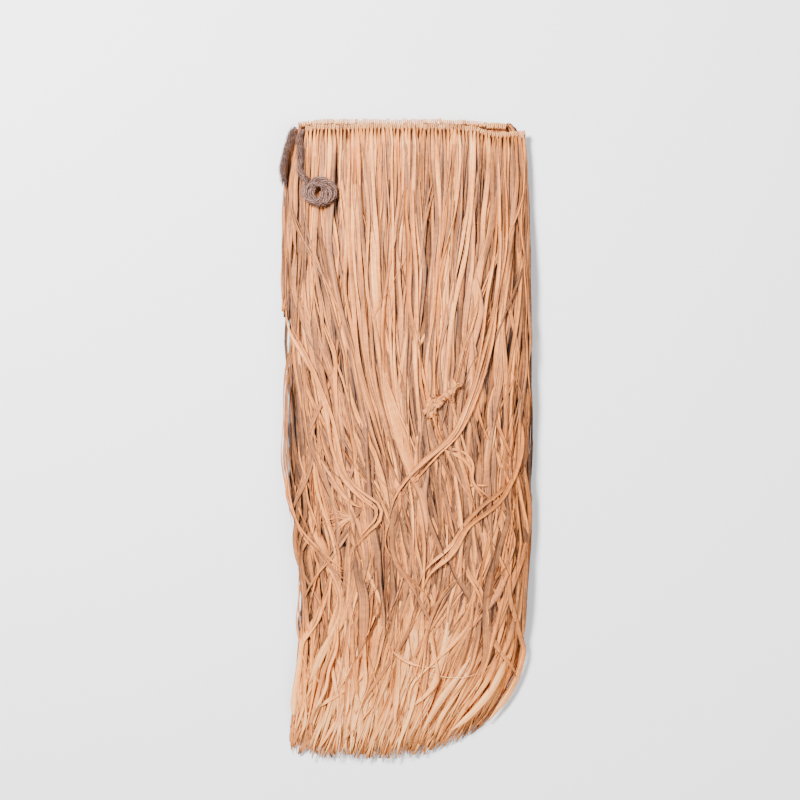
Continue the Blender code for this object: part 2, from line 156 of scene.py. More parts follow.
SECTIONS: tuple[Section, ...] = (
    Section(0.000, -0.112, 0.108, 0.0070),
    Section(0.020, -0.119, 0.122, 0.0125),
    Section(0.060, -0.126, 0.128, 0.0190),
    Section(0.120, -0.128, 0.131, 0.0260),
    Section(0.200, -0.126, 0.132, 0.0320),
    Section(0.280, -0.123, 0.132, 0.0350),
    Section(0.360, -0.124, 0.130, 0.0360),
    Section(0.430, -0.118, 0.128, 0.0350),
    Section(0.490, -0.110, 0.126, 0.0310),
    Section(0.540, -0.109, 0.123, 0.0260),
    Section(0.580, -0.113, 0.114, 0.0200),
    Section(0.615, -0.118, 0.095, 0.0145),
    Section(0.645, -0.121, 0.068, 0.0095),
    Section(0.672, -0.121, 0.025, 0.0060),
)

LEAN_X: tuple[float, ...] = (-0.123, -0.081, -0.039, 0.003, 0.045, 0.087, 0.126)
LEANS: tuple[Lean, ...] = (
    Lean(0.012, -0.10, -0.02, 0.00, 0.00, -0.02, -0.02, 0.08),
    Lean(0.086, -0.02, 0.05, 0.01, -0.03, -0.08, -0.11, 0.03),
    Lean(0.149, 0.00, 0.12, 0.03, -0.02, -0.12, -0.21, 0.01),
    Lean(0.212, 0.05, 0.22, 0.08, 0.00, -0.13, -0.27, -0.03),
    Lean(0.275, 0.12, 0.30, 0.18, 0.06, -0.06, -0.18, -0.05),
    Lean(0.338, 0.10, 0.38, 0.34, 0.20, 0.10, -0.05, -0.03),
    Lean(0.380, 0.00, 0.38, 0.40, 0.24, 0.22, 0.05, -0.04),
    Lean(0.422, 0.05, 0.25, 0.12, 0.16, 0.20, 0.00, -0.06),
    Lean(0.464, 0.20, 0.25, -0.10, 0.05, -0.05, -0.15, -0.06),
    Lean(0.506, 0.15, 0.05, -0.15, -0.08, -0.22, -0.25, -0.10),
    Lean(0.559, -0.20, -0.15, -0.15, -0.18, -0.38, -0.38, -0.25),
    Lean(0.611, -0.24, -0.22, -0.20, -0.30, -0.50, -0.60, -0.60),
    Lean(0.672, -0.30, -0.30, -0.30, -0.40, -0.70, -0.90, -0.90),
)

HEM: tuple[Point, ...] = (
    Point(-0.124, 0.664),
    Point(-0.060, 0.671),
    Point(-0.010, 0.668),
    Point(0.030, 0.660),
    Point(0.070, 0.645),
    Point(0.130, 0.640),
)

FRONT_LINE: tuple[Bend, ...] = (
    Bend(-0.1070, 0.0105, 0.0142),
    Bend(-0.0910, 0.0095, 0.0152),
    Bend(-0.0500, 0.0085, 0.0162),
    Bend(-0.0070, 0.0080, 0.0166),
    Bend(0.0300, 0.0085, 0.0166),
    Bend(0.0600, 0.0100, 0.0162),
    Bend(0.0780, 0.0130, 0.0154),
    Bend(0.0900, 0.0165, 0.0144),
    Bend(0.1030, 0.0170, 0.0132),
    Bend(0.1250, 0.0150, 0.0105),
)
BACK_LINE: tuple[Bend, ...] = (
    Bend(-0.1150, 0.0068, 0.0100),
    Bend(-0.0980, 0.0036, 0.0104),
    Bend(-0.0600, 0.0030, 0.0110),
    Bend(0.0140, 0.0030, 0.0112),
    Bend(0.0560, 0.0040, 0.0110),
    Bend(0.0860, 0.0060, 0.0106),
    Bend(0.1050, 0.0075, 0.0098),
)

ROUTES: tuple[Route, ...] = (
    Route("long diagonal", 0.0088, 0.0070, 0.80, (
        (945, 231), (966, 651), (892, 1806), (646, 2961), (462, 3318), (221, 3518), (-21, 3759),
        (-137, 3927), (-221, 4200), (-305, 4442)), rooted=True, strands=2),
    Route("its twin", 0.0082, 0.0052, 0.72, (
        (998, 231), (1019, 651), (955, 1806), (704, 2940), (515, 3329), (273, 3549), (42, 3801),
        (-74, 3990), (-158, 4263)), rooted=True, strands=2),
    Route("left sweep", 0.0088, 0.0080, 0.84, (
        (-1262, 1911), (-1240, 2226), (-1103, 2478), (-935, 2730), (-840, 2982), (-740, 3465), (-640, 3759),
        (-462, 3948), (-298, 4106), (-305, 4179), (-420, 4326), (-683, 4672)), strands=2, fill=1.1),
    Route("left lean", 0.0068, 0.0040, 0.60, (
        (-1190, 336), (-1187, 1019), (-998, 1439), (-809, 1806), (-651, 2152), (-515, 2646),
        (-431, 3171)), strands=3),
    Route("second left lean", 0.0064, 0.0036, 0.52, (
        (-1050, 170), (-1090, 651), (-1061, 1176), (-892, 1648), (-725, 2226), (-640, 2751), (-578, 3276),
        (-410, 3780)), rooted=True, strands=2),
    Route("wide pale leaf", 0.0080, 0.0150, 0.80, (
        (-599, 189), (-588, 861), (-578, 1512), (-536, 2016), (-473, 2457), (-336, 3066), (-221, 3549),
        (-158, 3822)), rooted=True, strands=4, fill=1.25),
    Route("second wide pale leaf", 0.0076, 0.0110, 0.76, (
        (-480, 189), (-470, 861), (-450, 1512), (-420, 2016), (-360, 2457), (-230, 3066), (-120, 3549),
        (-60, 3822)), rooted=True, strands=3, fill=1.25),
    Route("wide middle leaf", 0.0078, 0.0080, 0.78, (
        (11, 189), (32, 861), (53, 1512), (95, 2226), (158, 2772),
        (284, 3276)), rooted=True, strands=2, fill=1.25),
    Route("wide right leaf", 0.0086, 0.0096, 0.82, (
        (1180, 3160), (1185, 3400), (1124, 3759), (987, 3948), (809, 4106), (588, 4284), (389, 4547),
        (199, 4809), (126, 5009)), strands=2, fill=1.1),
    Route("right lean", 0.0070, 0.0040, 0.62, (
        (1220, 236), (1225, 756), (1061, 1239), (872, 1628), (704, 2047), (578, 2499),
        (473, 2961)), rooted=True, strands=3),
    Route("second right lean", 0.0062, 0.0036, 0.56, (
        (1240, 1071), (1210, 1491), (1082, 1911), (892, 2331), (745, 2751), (662, 3171)), strands=2),
    Route("middle lean", 0.0060, 0.0038, 0.52, (
        (378, 210), (347, 389), (262, 756), (179, 1144), (116, 1596), (95, 2121)), rooted=True, strands=2),
    Route("short level leaf", 0.0086, 0.0034, 0.72, (
        (536, 3864), (662, 3843), (767, 3843), (882, 3854))),
    Route("leaf bent right", 0.0088, 0.0062, 0.78, (
        (305, 3423), (410, 3454), (557, 3518), (662, 3644), (693, 3801), (788, 3948),
        (892, 4095)), strands=2),
    Route("outer loop", 0.0060, 0.0046, 0.58, (
        (-1029, 179), (-1061, 1071), (-1172, 2226), (-1236, 2646), (-1257, 3066), (-1267, 3381),
        (-1241, 3696), (-1167, 4011), (-1061, 4326)), rooted=True, strands=2, fill=1.0),
    Route("second outer loop", 0.0052, 0.0044, 0.54, (
        (-1061, 179), (-1092, 1071), (-1209, 2436), (-1262, 2751), (-1285, 3171), (-1288, 3486),
        (-1251, 3906), (-1146, 4536), (-1061, 4851)), rooted=True, strands=2, fill=1.0),
    Route("third outer loop", 0.0048, 0.0040, 0.62, (
        (-1180, 2100), (-1237, 2500), (-1300, 2960), (-1310, 3380), (-1287, 3800), (-1190, 4200),
        (-1000, 4420), (-800, 4460)), strands=2, fill=1.0),
    Route("loose end by the heading", 0.0036, 0.0012, 0.88, (
        (780, 135), (792, 175), (822, 220), (870, 252), (925, 250))),
    Route("fine arc", 0.0076, 0.0010, 0.80, (
        (-126, 5586), (84, 5744), (347, 5848), (662, 5848), (900, 5700), (1000, 5560))),
    Route("second fine arc", 0.0070, 0.0010, 0.80, (
        (-1071, 5481), (-1029, 5691), (-935, 5901), (-851, 6027))),
    Route("low crossing", 0.0084, 0.0054, 0.76, (
        (-578, 4221), (-745, 4515), (-935, 4767), (-1060, 5061)), strands=2),
    Route("right low crossing", 0.0084, 0.0060, 0.74, (
        (662, 4641), (347, 5061), (189, 5481), (95, 6006)), strands=3),
    Route("first left crossing", 0.0082, 0.0050, 0.76, (
        (-1271, 3696), (-1229, 4064), (-1071, 4379), (-851, 4599), (-599, 4767)), strands=2),
    Route("second left crossing", 0.0086, 0.0046, 0.66, (
        (-1166, 3801), (-1092, 4169), (-956, 4484), (-756, 4746), (-578, 4956)), strands=2),
    Route("third left crossing", 0.0076, 0.0052, 0.80, (
        (-998, 3381), (-935, 3801), (-830, 4169), (-746, 4536), (-704, 4956)), strands=2),
    Route("pale leaf at the left", 0.0080, 0.0060, 0.86, (
        (-890, 3600), (-740, 3860), (-560, 4030), (-400, 4120))),
    Route("low left leaf", 0.0078, 0.0046, 0.62, (
        (-1103, 4641), (-1150, 5061), (-1124, 5481), (-998, 6006)), strands=2),
    Route("first right crossing", 0.0082, 0.0052, 0.78, (
        (473, 4431), (641, 4746), (788, 5061), (872, 5376)), strands=2),
    Route("second right crossing", 0.0080, 0.0046, 0.70, (
        (1145, 4200), (1050, 4560), (903, 4914), (683, 5271)), strands=2),
    Route("first hem leaf", 0.0080, 0.0058, 0.80, (
        (-336, 5208), (-483, 5513), (-567, 5975), (-600, 6240))),
    Route("second hem leaf", 0.0084, 0.0056, 0.84, (
        (693, 5607), (500, 5900), (294, 6195), (116, 6542))),
    Route("third hem leaf", 0.0080, 0.0060, 0.80, (
        (1080, 5612), (861, 6040), (640, 6290), (410, 6482))),
    Route("fourth hem leaf", 0.0086, 0.0066, 0.82, (
        (-704, 5013), (-735, 5428), (-860, 5850), (-1019, 6395)), strands=2),
    Route("fifth hem leaf", 0.0082, 0.0060, 0.86, (
        (-53, 5092), (-84, 5607), (-137, 6426))),
    Route("sixth hem leaf", 0.0088, 0.0050, 0.78, (
        (450, 5660), (250, 5740), (20, 5700), (-180, 5560))),
)


def smooth(xs: np.ndarray, ys: np.ndarray, x: np.ndarray) -> np.ndarray:
    """Reads a cubic curve through points.

    Args:
        xs: Where the points are, rising.
        ys: The points' values.
        x: Where to read the curve, which is level past its ends.

    Returns:
        The curve's values at x.
    """
    xs = np.asarray(xs, float)
    ys = np.asarray(ys, float)
    slopes = np.gradient(ys, xs)
    i = np.clip(np.searchsorted(xs, x) - 1, 0, len(xs) - 2)
    span = xs[i + 1] - xs[i]
    t = np.clip((x - xs[i]) / span, 0, 1)
    rise = ys[i] * (2 * t**3 - 3 * t**2 + 1) + ys[i + 1] * (3 * t**2 - 2 * t**3)
    return rise + span * (slopes[i] * (t**3 - 2 * t**2 + t) + slopes[i + 1] * (t**3 - t**2))


def read_line(line: tuple, x: np.ndarray, column: str = "below") -> np.ndarray:
    """One of the values of a heading's or a hem's points, at a place across the skirt."""
    return smooth([p.x for p in line], [getattr(p, column) for p in line], x)


def unit(vectors: np.ndarray) -> np.ndarray:
    """Vectors along the last axis, each made one long."""
    return vectors / np.maximum(np.linalg.norm(vectors, axis=-1, keepdims=True), 1e-12)


def fade(value: np.ndarray, start: float | np.ndarray, over: float, low: float = 0.0,
         high: float = 1.0) -> np.ndarray:
    """How far a value is past a start, as a share of a stretch, held between two limits."""
    return np.clip((value - start) / over, low, high)


def run_along(path: np.ndarray) -> np.ndarray:
    """How far each of a path's points is along it."""
    return np.concatenate([[0], np.cumsum(np.linalg.norm(np.diff(path, axis=0), axis=1))])


def in_frame(x: np.ndarray, below: np.ndarray, z: np.ndarray) -> np.ndarray:
    """Points in the model's frame, from places across the skirt, down it and above the table."""
    return np.stack([x, WAIST_Y - below, z], axis=-1)


def resample(points: np.ndarray, step: float = 0.0007) -> np.ndarray:
    """Reads points a step apart along a smooth curve through a route.

    Args:
        points: The route's own points.
        step: How far apart the new ones are.

    Returns:
        The new points.
    """
    run = run_along(points)
    at = np.linspace(0, run[-1], max(2, round(run[-1] / step)) + 1)
    return np.stack([smooth(run, points[:, i], at) for i in range(3)], axis=1)


@dataclass(frozen=True)
class Mound:
    """The heap that the folded layers make, which every strand lies on."""

    sections: tuple[Section, ...] = SECTIONS
    roundness: float = 2.7
    steepest_at: float = 0.95
    probe: float = 0.002

    def column(self, name: str, below: np.ndarray) -> np.ndarray:
        """One of the sections' values at a distance below the waist."""
        belows = [s.below for s in self.sections]
        return smooth(belows, [getattr(s, name) for s in self.sections], below)

    def middle(self, below: np.ndarray) -> tuple[np.ndarray, np.ndarray]:
        """The mound's centre and half width."""
        left, right = self.column("left", below), self.column("right", below)
        return (left + right) / 2, (right - left) / 2

    def surface(self, x: np.ndarray, below: np.ndarray) -> np.ndarray:
        """Reads the mound's height, which falls with one slope near its edges.

        Args:
            x: Places across the skirt.
            below: Distances below the waist.

        Returns:
            The heights.
        """
        centre, half = self.middle(below)
        share = np.abs(x - centre) / half
        inner = np.minimum(share, self.steepest_at)
        power = self.roundness
        dome = (1 - inner**power) ** (1 / power)
        slope = self.steepest_at ** (power - 1) * (1 - self.steepest_at**power) ** (1 / power - 1)
        return self.column("rise", below) * np.maximum(dome - slope * (share - inner), 0)

    def facing(self, x: np.ndarray, below: np.ndarray) -> np.ndarray:
        """Finds the direction that points straight out of the mound.

        Args:
            x: Places across the skirt.
            below: Distances below the waist.

        Returns:
            A direction for each place.
        """
        step = self.probe
        across = (self.surface(x + step, below) - self.surface(x - step, below)) / (2 * step)
        down = (self.surface(x, below + step) - self.surface(x, below - step)) / (2 * step)
        return unit(np.stack([-across, down, np.ones_like(across)], axis=-1))


@dataclass
class Ribbons:
    """A batch of strands: a line each, with its width, twist, fold and tone."""

    lines: np.ndarray
    facing: np.ndarray
    widths: np.ndarray
    twists: np.ndarray
    folds: np.ndarray
    tones: np.ndarray
    thick: float = 0.00022


@dataclass(frozen=True)
class TintAndPaintedLight:
    """How raffia's colour changes over the skirt: a golden tint near the sides, lighter strands at the
    waist, and paler ones at the hem, partly the raffia's own and partly painted light in place of glare.

    Each pair says where a change starts and over what length it happens: below the waist, or for
    `side` from the middle towards the edge as a share of the half width. A length under zero runs
    back towards the waist.
    """

    hem: tuple[float, float] = (0.50, 0.13)
    hem_light: float = 1.9
    knots: tuple[float, float] = (0.050, -0.035)
    upper: tuple[float, float] = (0.30, -0.12)
    upper_light: float = 0.3
    side: tuple[float, float] = (0.66, 0.30)
    side_end: tuple[float, float] = (0.66, -0.08)

    def lighter(self, batch: Ribbons) -> np.ndarray:
        """Works out how much lighter strands are at the hem, where the layers open, and at the waist.

        Args:
            batch: The strands.

        Returns:
            What to add to a strand's tone, at each of its stations.
        """
        below = WAIST_Y - batch.lines[..., 1]
        # Paler towards the hem: partly the raffia's own paler ends and partly painted light that stands in
        # for glare.
        hem = fade(below, *self.hem)
        waist = fade(below, *self.knots) + self.upper_light * fade(below, *self.upper)
        return (self.hem_light * hem + waist) * np.clip(0.46 - 0.36 * batch.tones[:, None], 0.15, 0.40)

    def golden(self, batch: Ribbons) -> np.ndarray:
        """Works out how golden strands are near the skirt's sides, more so further down.

        Args:
            batch: The strands.

        Returns:
            A share from 0 to 1, at each of a strand's stations.
        """
        below = WAIST_Y - batch.lines[..., 1]
        centre, half = Mound().middle(below)
        side = fade(np.abs(batch.lines[..., 0] - centre) / half, *self.side)
        return side * fade(below, *self.side_end, 0.2) * np.clip(0.35 + (below - 0.20) / 0.30, 0.35, 1)


def join(batches: list[Ribbons]) -> Ribbons:
    """Puts batches with the same number of stations into one."""
    merged = {name: np.concatenate([getattr(b, name) for b in batches]) for name in RIBBON_COLUMNS}
    return Ribbons(thick=batches[0].thick, **merged)


def ribbon_mesh(name: str, batch: Ribbons) -> bpy.types.Mesh:
    """Makes every strand of a batch a thin closed ribbon with a fold along it.

    Args:
        name: The mesh's name.
        batch: The strands.

    Returns:
        One mesh with all the strands.
    """
    count, stations = batch.lines.shape[:2]
    ahead = unit(np.gradient(batch.lines, axis=1))
    side = unit(np.cross(ahead, batch.facing))
    up = np.cross(side, ahead)
    turn = batch.twists[..., None]
    side = np.cos(turn) * side + np.sin(turn) * up
    up = np.cross(side, ahead)
    half = side * batch.widths[..., None] / 2
    rise = up * (batch.widths * batch.folds[:, None])[..., None]
    skin = up * batch.thick / 2
    ring = np.stack([
        batch.lines - half,
        batch.lines + rise + skin,
        batch.lines + half,
        batch.lines + rise - skin,
    ], axis=2)
    ring[..., 2] = np.maximum(ring[..., 2], LEAST_HEIGHT)
    index = np.arange(count * stations * CORNERS).reshape(count, stations, CORNERS)
    after = np.roll(index, -1, axis=2)
    quads = np.stack([index[:, :-1], after[:, :-1], after[:, 1:], index[:, 1:]], axis=-1)
    caps = np.concatenate([index[:, 0, ::-1], index[:, -1]])
    step = np.linalg.norm(np.diff(batch.lines, axis=1), axis=2)
    run = np.concatenate([np.zeros((count, 1)), np.cumsum(step, axis=1)], axis=1)
    across = np.array([-0.5, 0.0, 0.5, 0.0]) * batch.widths[..., None]
    mesh = quad_mesh(name, ring.reshape(-1, 3), np.concatenate([quads.reshape(-1, CORNERS), caps]))
    set_uvs(mesh, np.stack([across, np.repeat(run[..., None], CORNERS, axis=2)], axis=-1).reshape(-1, 2))
    tint_and_light = TintAndPaintedLight()
    # Each strand's tone, made lighter at the waist and at the hem, where it is partly painted light in place
    # of glare.
    tones = batch.tones[:, None] + tint_and_light.lighter(batch)
    set_values(mesh, "gold", np.repeat(tint_and_light.golden(batch).ravel(), CORNERS))
    set_values(mesh, "tone", np.repeat(tones.ravel(), CORNERS))
    set_values(mesh, "strand", np.repeat(np.modf(np.arange(count) * GOLDEN_SHARE)[0], stations * CORNERS))
    set_values(mesh, "edge", np.tile([1.0, 0.0, 1.0, 0.0], count * stations))
    ends = np.empty(len(mesh.edges) * 2, np.int64)
    mesh.edges.foreach_get("vertices", ends)
    ends = ends.reshape(-1, 2)
    sharp = mesh.attributes.new("sharp_edge", "BOOLEAN", "EDGE")
    sharp.data.foreach_set("value", np.abs(ends[:, 0] - ends[:, 1]) == CORNERS)
    return mesh


def quad_mesh(name: str, points: np.ndarray, quads: np.ndarray) -> bpy.types.Mesh:
    """Makes a mesh of four-sided faces.

    Args:
        name: The mesh's name.
        points: One row for each point.
        quads: Four point numbers for each face.

    Returns:
        The mesh, shaded smooth.
    """
    mesh = bpy.data.meshes.new(name)
    mesh.vertices.add(len(points))
    mesh.vertices.foreach_set("co", points.astype(np.float32).ravel())
    mesh.loops.add(quads.size)
    mesh.loops.foreach_set("vertex_index", quads.astype(np.int32).ravel())
    mesh.polygons.add(len(quads))
    mesh.polygons.foreach_set("loop_start", np.arange(0, quads.size, 4, dtype=np.int32))
    mesh.polygons.foreach_set("use_smooth", np.ones(len(quads), bool))
    mesh.update(calc_edges=True)
    return mesh


def ringed_mesh(name: str, rings: np.ndarray) -> bpy.types.Mesh:
    """Joins closed rings of points, one after another, by four-sided faces.

    Args:
        name: The mesh's name.
        rings: The points, by ring and by place on it.

    Returns:
        The mesh, open at its two ends.
    """
    index = np.arange(rings.shape[0] * rings.shape[1]).reshape(rings.shape[:2])
    after = np.roll(index, -1, axis=1)
    quads = np.stack([index[:-1], after[:-1], after[1:], index[1:]], axis=-1).reshape(-1, 4)
    return quad_mesh(name, rings.reshape(-1, 3), quads)


def close_ends(mesh: bpy.types.Mesh) -> None:
    """Fills a ringed mesh's two ends and turns its faces outward.

    Args:
        mesh: The mesh, which is changed.
    """
    work = bmesh.new()
    work.from_mesh(mesh)
    bmesh.ops.holes_fill(work, edges=work.edges, sides=0)
    bmesh.ops.recalc_face_normals(work, faces=work.faces)
    work.to_mesh(mesh)
    work.free()


def set_uvs(mesh: bpy.types.Mesh, uvs: np.ndarray) -> None:
    """Gives a mesh a UV map.

    Args:
        mesh: The mesh.
        uvs: One pair of values for each point.
    """
    corners = np.empty(len(mesh.loops), np.int64)
    mesh.loops.foreach_get("vertex_index", corners)
    layer = mesh.uv_layers.new(name="UVMap")
    layer.data.foreach_set("uv", uvs[corners].astype(np.float32).ravel())


def set_values(mesh: bpy.types.Mesh, name: str, values: np.ndarray) -> None:
    """Gives a mesh a named value at each point."""
    mesh.attributes.new(name, "FLOAT", "POINT").data.foreach_set("value", values.astype(np.float32))


def dress(mesh: bpy.types.Mesh, finish: bpy.types.Material, slot: str, *nodes: str) -> bpy.types.Object:
    """Makes a piece of a mesh, fixes it to the skirt and hides the plain solids that it replaces.

    Args:
        mesh: The finished mesh, whose name the piece takes.
        finish: Its material.
        slot: Not used.
        nodes: The plain solids that it replaces.

    Returns:
        The piece.
    """
    mesh.materials.append(finish)
    piece = bpy.data.objects.new(mesh.name, mesh)
    bpy.context.scene.collection.objects.link(piece)
    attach(piece, "root")
    if nodes:
        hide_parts(*nodes)
    LOG.info("%s: %d faces", piece.name, len(mesh.polygons))
    return piece


def deselect() -> None:
    """Leaves no object selected."""
    for obj in list(bpy.context.selected_objects):
        obj.select_set(False)


Stops = tuple[tuple[float, tuple[float, float, float]], ...]


class Shader:
    """A short way to add and link a node tree's nodes."""

    def __init__(self, tree: bpy.types.NodeTree) -> None:
        """Works on one node tree."""
        self.tree = tree

    def add(self, kind: str, inputs: dict | None = None, **settings: object) -> bpy.types.Node:
        """Adds a node.

        Args:
            kind: The node's type.
            inputs: Values or output sockets for its inputs, by name or number.
            settings: Its properties.

        Returns:
            The node.
        """
        node = self.tree.nodes.new(kind)
        for name, value in settings.items():
            setattr(node, name, value)
        return self.feed(node, inputs or {})

    def feed(self, node: bpy.types.Node, inputs: dict) -> bpy.types.Node:
        """Sets or links a node's inputs.

        Args:
            node: The node.
            inputs: Values or output sockets for its inputs, by name or number.

        Returns:
            The node.
        """
        for key, value in inputs.items():
            if isinstance(value, bpy.types.NodeSocket):
                self.tree.links.new(value, node.inputs[key])
            else:
                node.inputs[key].default_value = value
        return node

    def math(self, operation: str, first: object, second: object = 0.0) -> bpy.types.NodeSocket:
        """Adds a Math node and gives its result."""
        return self.add("ShaderNodeMath", {0: first, 1: second}, operation=operation).outputs[0]

    def value(self, name: str) -> bpy.types.NodeSocket:
        """Reads one of a mesh's named values."""
        return self.add("ShaderNodeAttribute", attribute_name=name).outputs["Fac"]

    def multiply(self, share: object, first: object, second: object) -> bpy.types.NodeSocket:
        """Multiplies one colour by a share of another."""
        inputs = {0: share, 6: first, 7: second}
        return self.add("ShaderNodeMix", inputs, data_type="RGBA", blend_type="MULTIPLY").outputs[2]

    def noise(self, vector: object, scale: float, detail: float = 2.0) -> bpy.types.NodeSocket:
        """Adds a Noise Texture and gives its value."""
        inputs = {"Vector": vector, "Scale": scale, "Detail": detail}
        return self.add("ShaderNodeTexNoise", inputs).outputs["Fac"]

    def remap(self, value: object, low: float, high: float, to_low: float,
              to_high: float) -> bpy.types.NodeSocket:
        """Adds a Map Range node and gives its result."""
        inputs = {"Value": value, "From Min": low, "From Max": high, "To Min": to_low, "To Max": to_high}
        return self.add("ShaderNodeMapRange", inputs).outputs["Result"]

    def ramp(self, value: object, stops: Stops) -> bpy.types.NodeSocket:
        """Adds a Color Ramp.

        Args:
            value: Where to read the ramp.
            stops: Its places and their colours.

        Returns:
            The colour.
        """
        node = self.add("ShaderNodeValToRGB", {"Fac": value})
        ramp = node.color_ramp
        while len(ramp.elements) < len(stops):
            ramp.elements.new(0.5)
        for element, (place, colour) in zip(ramp.elements, stops):
            element.position = place
            element.color = (*colour, 1)
        return node.outputs["Color"]


def group_with(name: str, inputs: dict[str, str],
               outputs: tuple[str, ...]) -> tuple[bpy.types.NodeTree, Shader]:
    """Starts a shader node group.

    Args:
        name: The group's name.
        inputs: Its inputs' names and socket types.
        outputs: The names of the values that it puts out.

    Returns:
        The group and a helper for its nodes.
    """
    group = bpy.data.node_groups.new(name, "ShaderNodeTree")
    for label, kind in inputs.items():
        group.interface.new_socket(label, in_out="INPUT", socket_type=kind)
    for label in outputs:
        group.interface.new_socket(label, in_out="OUTPUT", socket_type="NodeSocketFloat")
    return group, Shader(group)


def fibre_group() -> bpy.types.NodeTree:
    """Makes dry leaf's pattern: fibres and slow stains, painted light and shade that changes slowly
    along each strand and in small patches at its creases, and painted shade that darkens its rims.

    Returns:
        The node group.
    """
    inputs = {"Place": "NodeSocketVector"} | dict.fromkeys(("Strand", "Tone", "Edge"), "NodeSocketFloat")
    group, shader = group_with("leaf_fibre", inputs, ("Shade", "Stain", "Height"))
    come = shader.add("NodeGroupInput")
    parts = shader.add("ShaderNodeSeparateXYZ", {0: come.outputs["Place"]})
    offset = shader.math("MULTIPLY", come.outputs["Strand"], 61.0)

    def stretched(across: float, along: float, detail: float) -> bpy.types.NodeSocket:
        """Adds noise that is drawn out along the strand.

        Args:
            across: How many spots a metre there are across the strand.
            along: How many there are along it.
            detail: How fine the noise is.

        Returns:
            The noise's value.
        """
        x, y = (shader.math("MULTIPLY", parts.outputs[a], s) for a, s in (("X", across), ("Y", along)))
        place = shader.add("ShaderNodeCombineXYZ", {"X": x, "Y": y, "Z": offset})
        return shader.noise(place.outputs["Vector"], 1.0, detail)

    fine = shader.math("MULTIPLY", stretched(2600.0, 26.0, 3.0), 0.36)
    streak = shader.math("ADD", fine, shader.math("MULTIPLY", stretched(760.0, 14.0, 2.0), 0.64))
    slow = stretched(60.0, 22.0, 2.0)
    crease = stretched(160.0, 240.0, 1.0)
    shade = shader.math("ADD", come.outputs["Tone"], shader.remap(streak, 0.38, 0.62, -0.18, 0.18))
    # Slow lighter and darker changes along the strand: painted light and shade, as a twisting strand catches
    # the light.
    shade = shader.math("ADD", shade, shader.remap(slow, 0.3, 0.7, -0.14, 0.14))
    # Small lighter and darker patches: painted shading of creases.
    shade = shader.math("ADD", shade, shader.remap(crease, 0.3, 0.7, -0.06, 0.06))
    # Painted shade that darkens each strand's rims, near its edges.
    painted_rim_shade = shader.math("MULTIPLY", shader.math("POWER", come.outputs["Edge"], 7.0), 0.62)
    shade = shader.math("SUBTRACT", shade, painted_rim_shade)
    stain = shader.remap(stretched(90.0, 9.0, 1.0), 0.55, 0.75, 0.0, 1.0)
    shader.add("NodeGroupOutput", {"Shade": shade, "Stain": stain, "Height": streak})
    return group


def hair_group() -> bpy.types.NodeTree:
    """Makes plied fibre's pattern: yarns along a cord, with painted shade in the grooves between them,
    and loose hair between them.

    Returns:
        The node group.
    """
    inputs = {"Place": "NodeSocketVector", "Yarn": "NodeSocketFloat"}
    group, shader = group_with("plied_fibre", inputs, ("Shade", "Height"))
    come = shader.add("NodeGroupInput")
    tangle = shader.noise(come.outputs["Place"], 900.0, 4.0)
    patch = shader.noise(come.outputs["Place"], 160.0, 2.0)
    # On the cord the yarn value is low in the grooves between yarns, so this darkens them as painted shade;
    # on loose hair it is a random tone.
    shade = shader.math("MULTIPLY", come.outputs["Yarn"], 0.62)
    shade = shader.math("ADD", shade, shader.remap(tangle, 0.3, 0.7, -0.16, 0.40))
    shade = shader.math("ADD", shade, shader.remap(patch, 0.3, 0.7, -0.10, 0.14))
    shader.add("NodeGroupOutput", {"Shade": shade, "Height": tangle})
    return group


def new_material(name: str) -> tuple[bpy.types.Material, Shader, bpy.types.Node]:
    """Starts a material.

    Args:
        name: Its name.

    Returns:
        The material, a helper for its nodes, and its surface node.
    """
    made = bpy.data.materials.new(name)
    made.use_nodes = True
    return made, Shader(made.node_tree), made.node_tree.nodes["Principled BSDF"]


@dataclass(frozen=True)
class LeafFinish:
    """Dry raffia: its colours from shade to light, and how rough it is."""

    name: str
    stops: Stops
    stain: tuple[float, float, float]
    reach: float = 1.0
    roughness: float = 0.58
    specular: float = 0.20
    bump: float = 0.40
    bump_height: float = 0.0004
    stained: float = 0.35
    golden: float = 0.55
    gold: tuple[float, float, float] = (0.96, 0.84, 0.50)
    shuffle: float = 7.31
    kinds: Stops = (
        (0.00, (1.00, 0.88, 0.62)),
        (0.22, (1.00, 0.97, 0.90)),
        (0.78, (1.00, 1.00, 1.00)),
        (1.00, (0.94, 0.84, 0.70)),
    )

    def material(self, group: bpy.types.NodeTree) -> bpy.types.Material:
        """Makes the material.

        Args:
            group: The leaf fibre group.

        Returns:
            The material, which reads the strand's own UV map and values.
        """
        made, shader, surface = new_material(self.name)
        strand = shader.value("strand")
        inputs = {
            "Place": shader.add("ShaderNodeUVMap", uv_map="UVMap").outputs["UV"],
            "Strand": strand,
            "Tone": shader.value("tone"),
            "Edge": shader.value("edge"),
        }
        fibre = shader.add("ShaderNodeGroup", inputs, node_tree=group)
        height = fibre.outputs["Height"]
        colour = shader.ramp(shader.math("MULTIPLY", fibre.outputs["Shade"], self.reach), self.stops)
        kinds = shader.ramp(shader.math("FRACT", shader.math("MULTIPLY", strand, self.shuffle)), self.kinds)
        colour = shader.multiply(1.0, colour, kinds)
        stained = shader.math("MULTIPLY", fibre.outputs["Stain"], self.stained)
        colour = shader.multiply(stained, colour, (*self.stain, 1))
        aged = shader.math("MULTIPLY", shader.value("gold"), self.golden)
        bump = shader.add("ShaderNodeBump", {
            "Strength": self.bump,
            "Distance": self.bump_height,
            "Height": height,
        })
        shader.feed(surface, {
            "Base Color": shader.multiply(aged, colour, (*self.gold, 1)),
            "Roughness": shader.remap(height, 0.3, 0.7, self.roughness + 0.10, self.roughness - 0.08),
            "Specular IOR Level": self.specular,
            "Normal": bump.outputs["Normal"],
        })
        return made


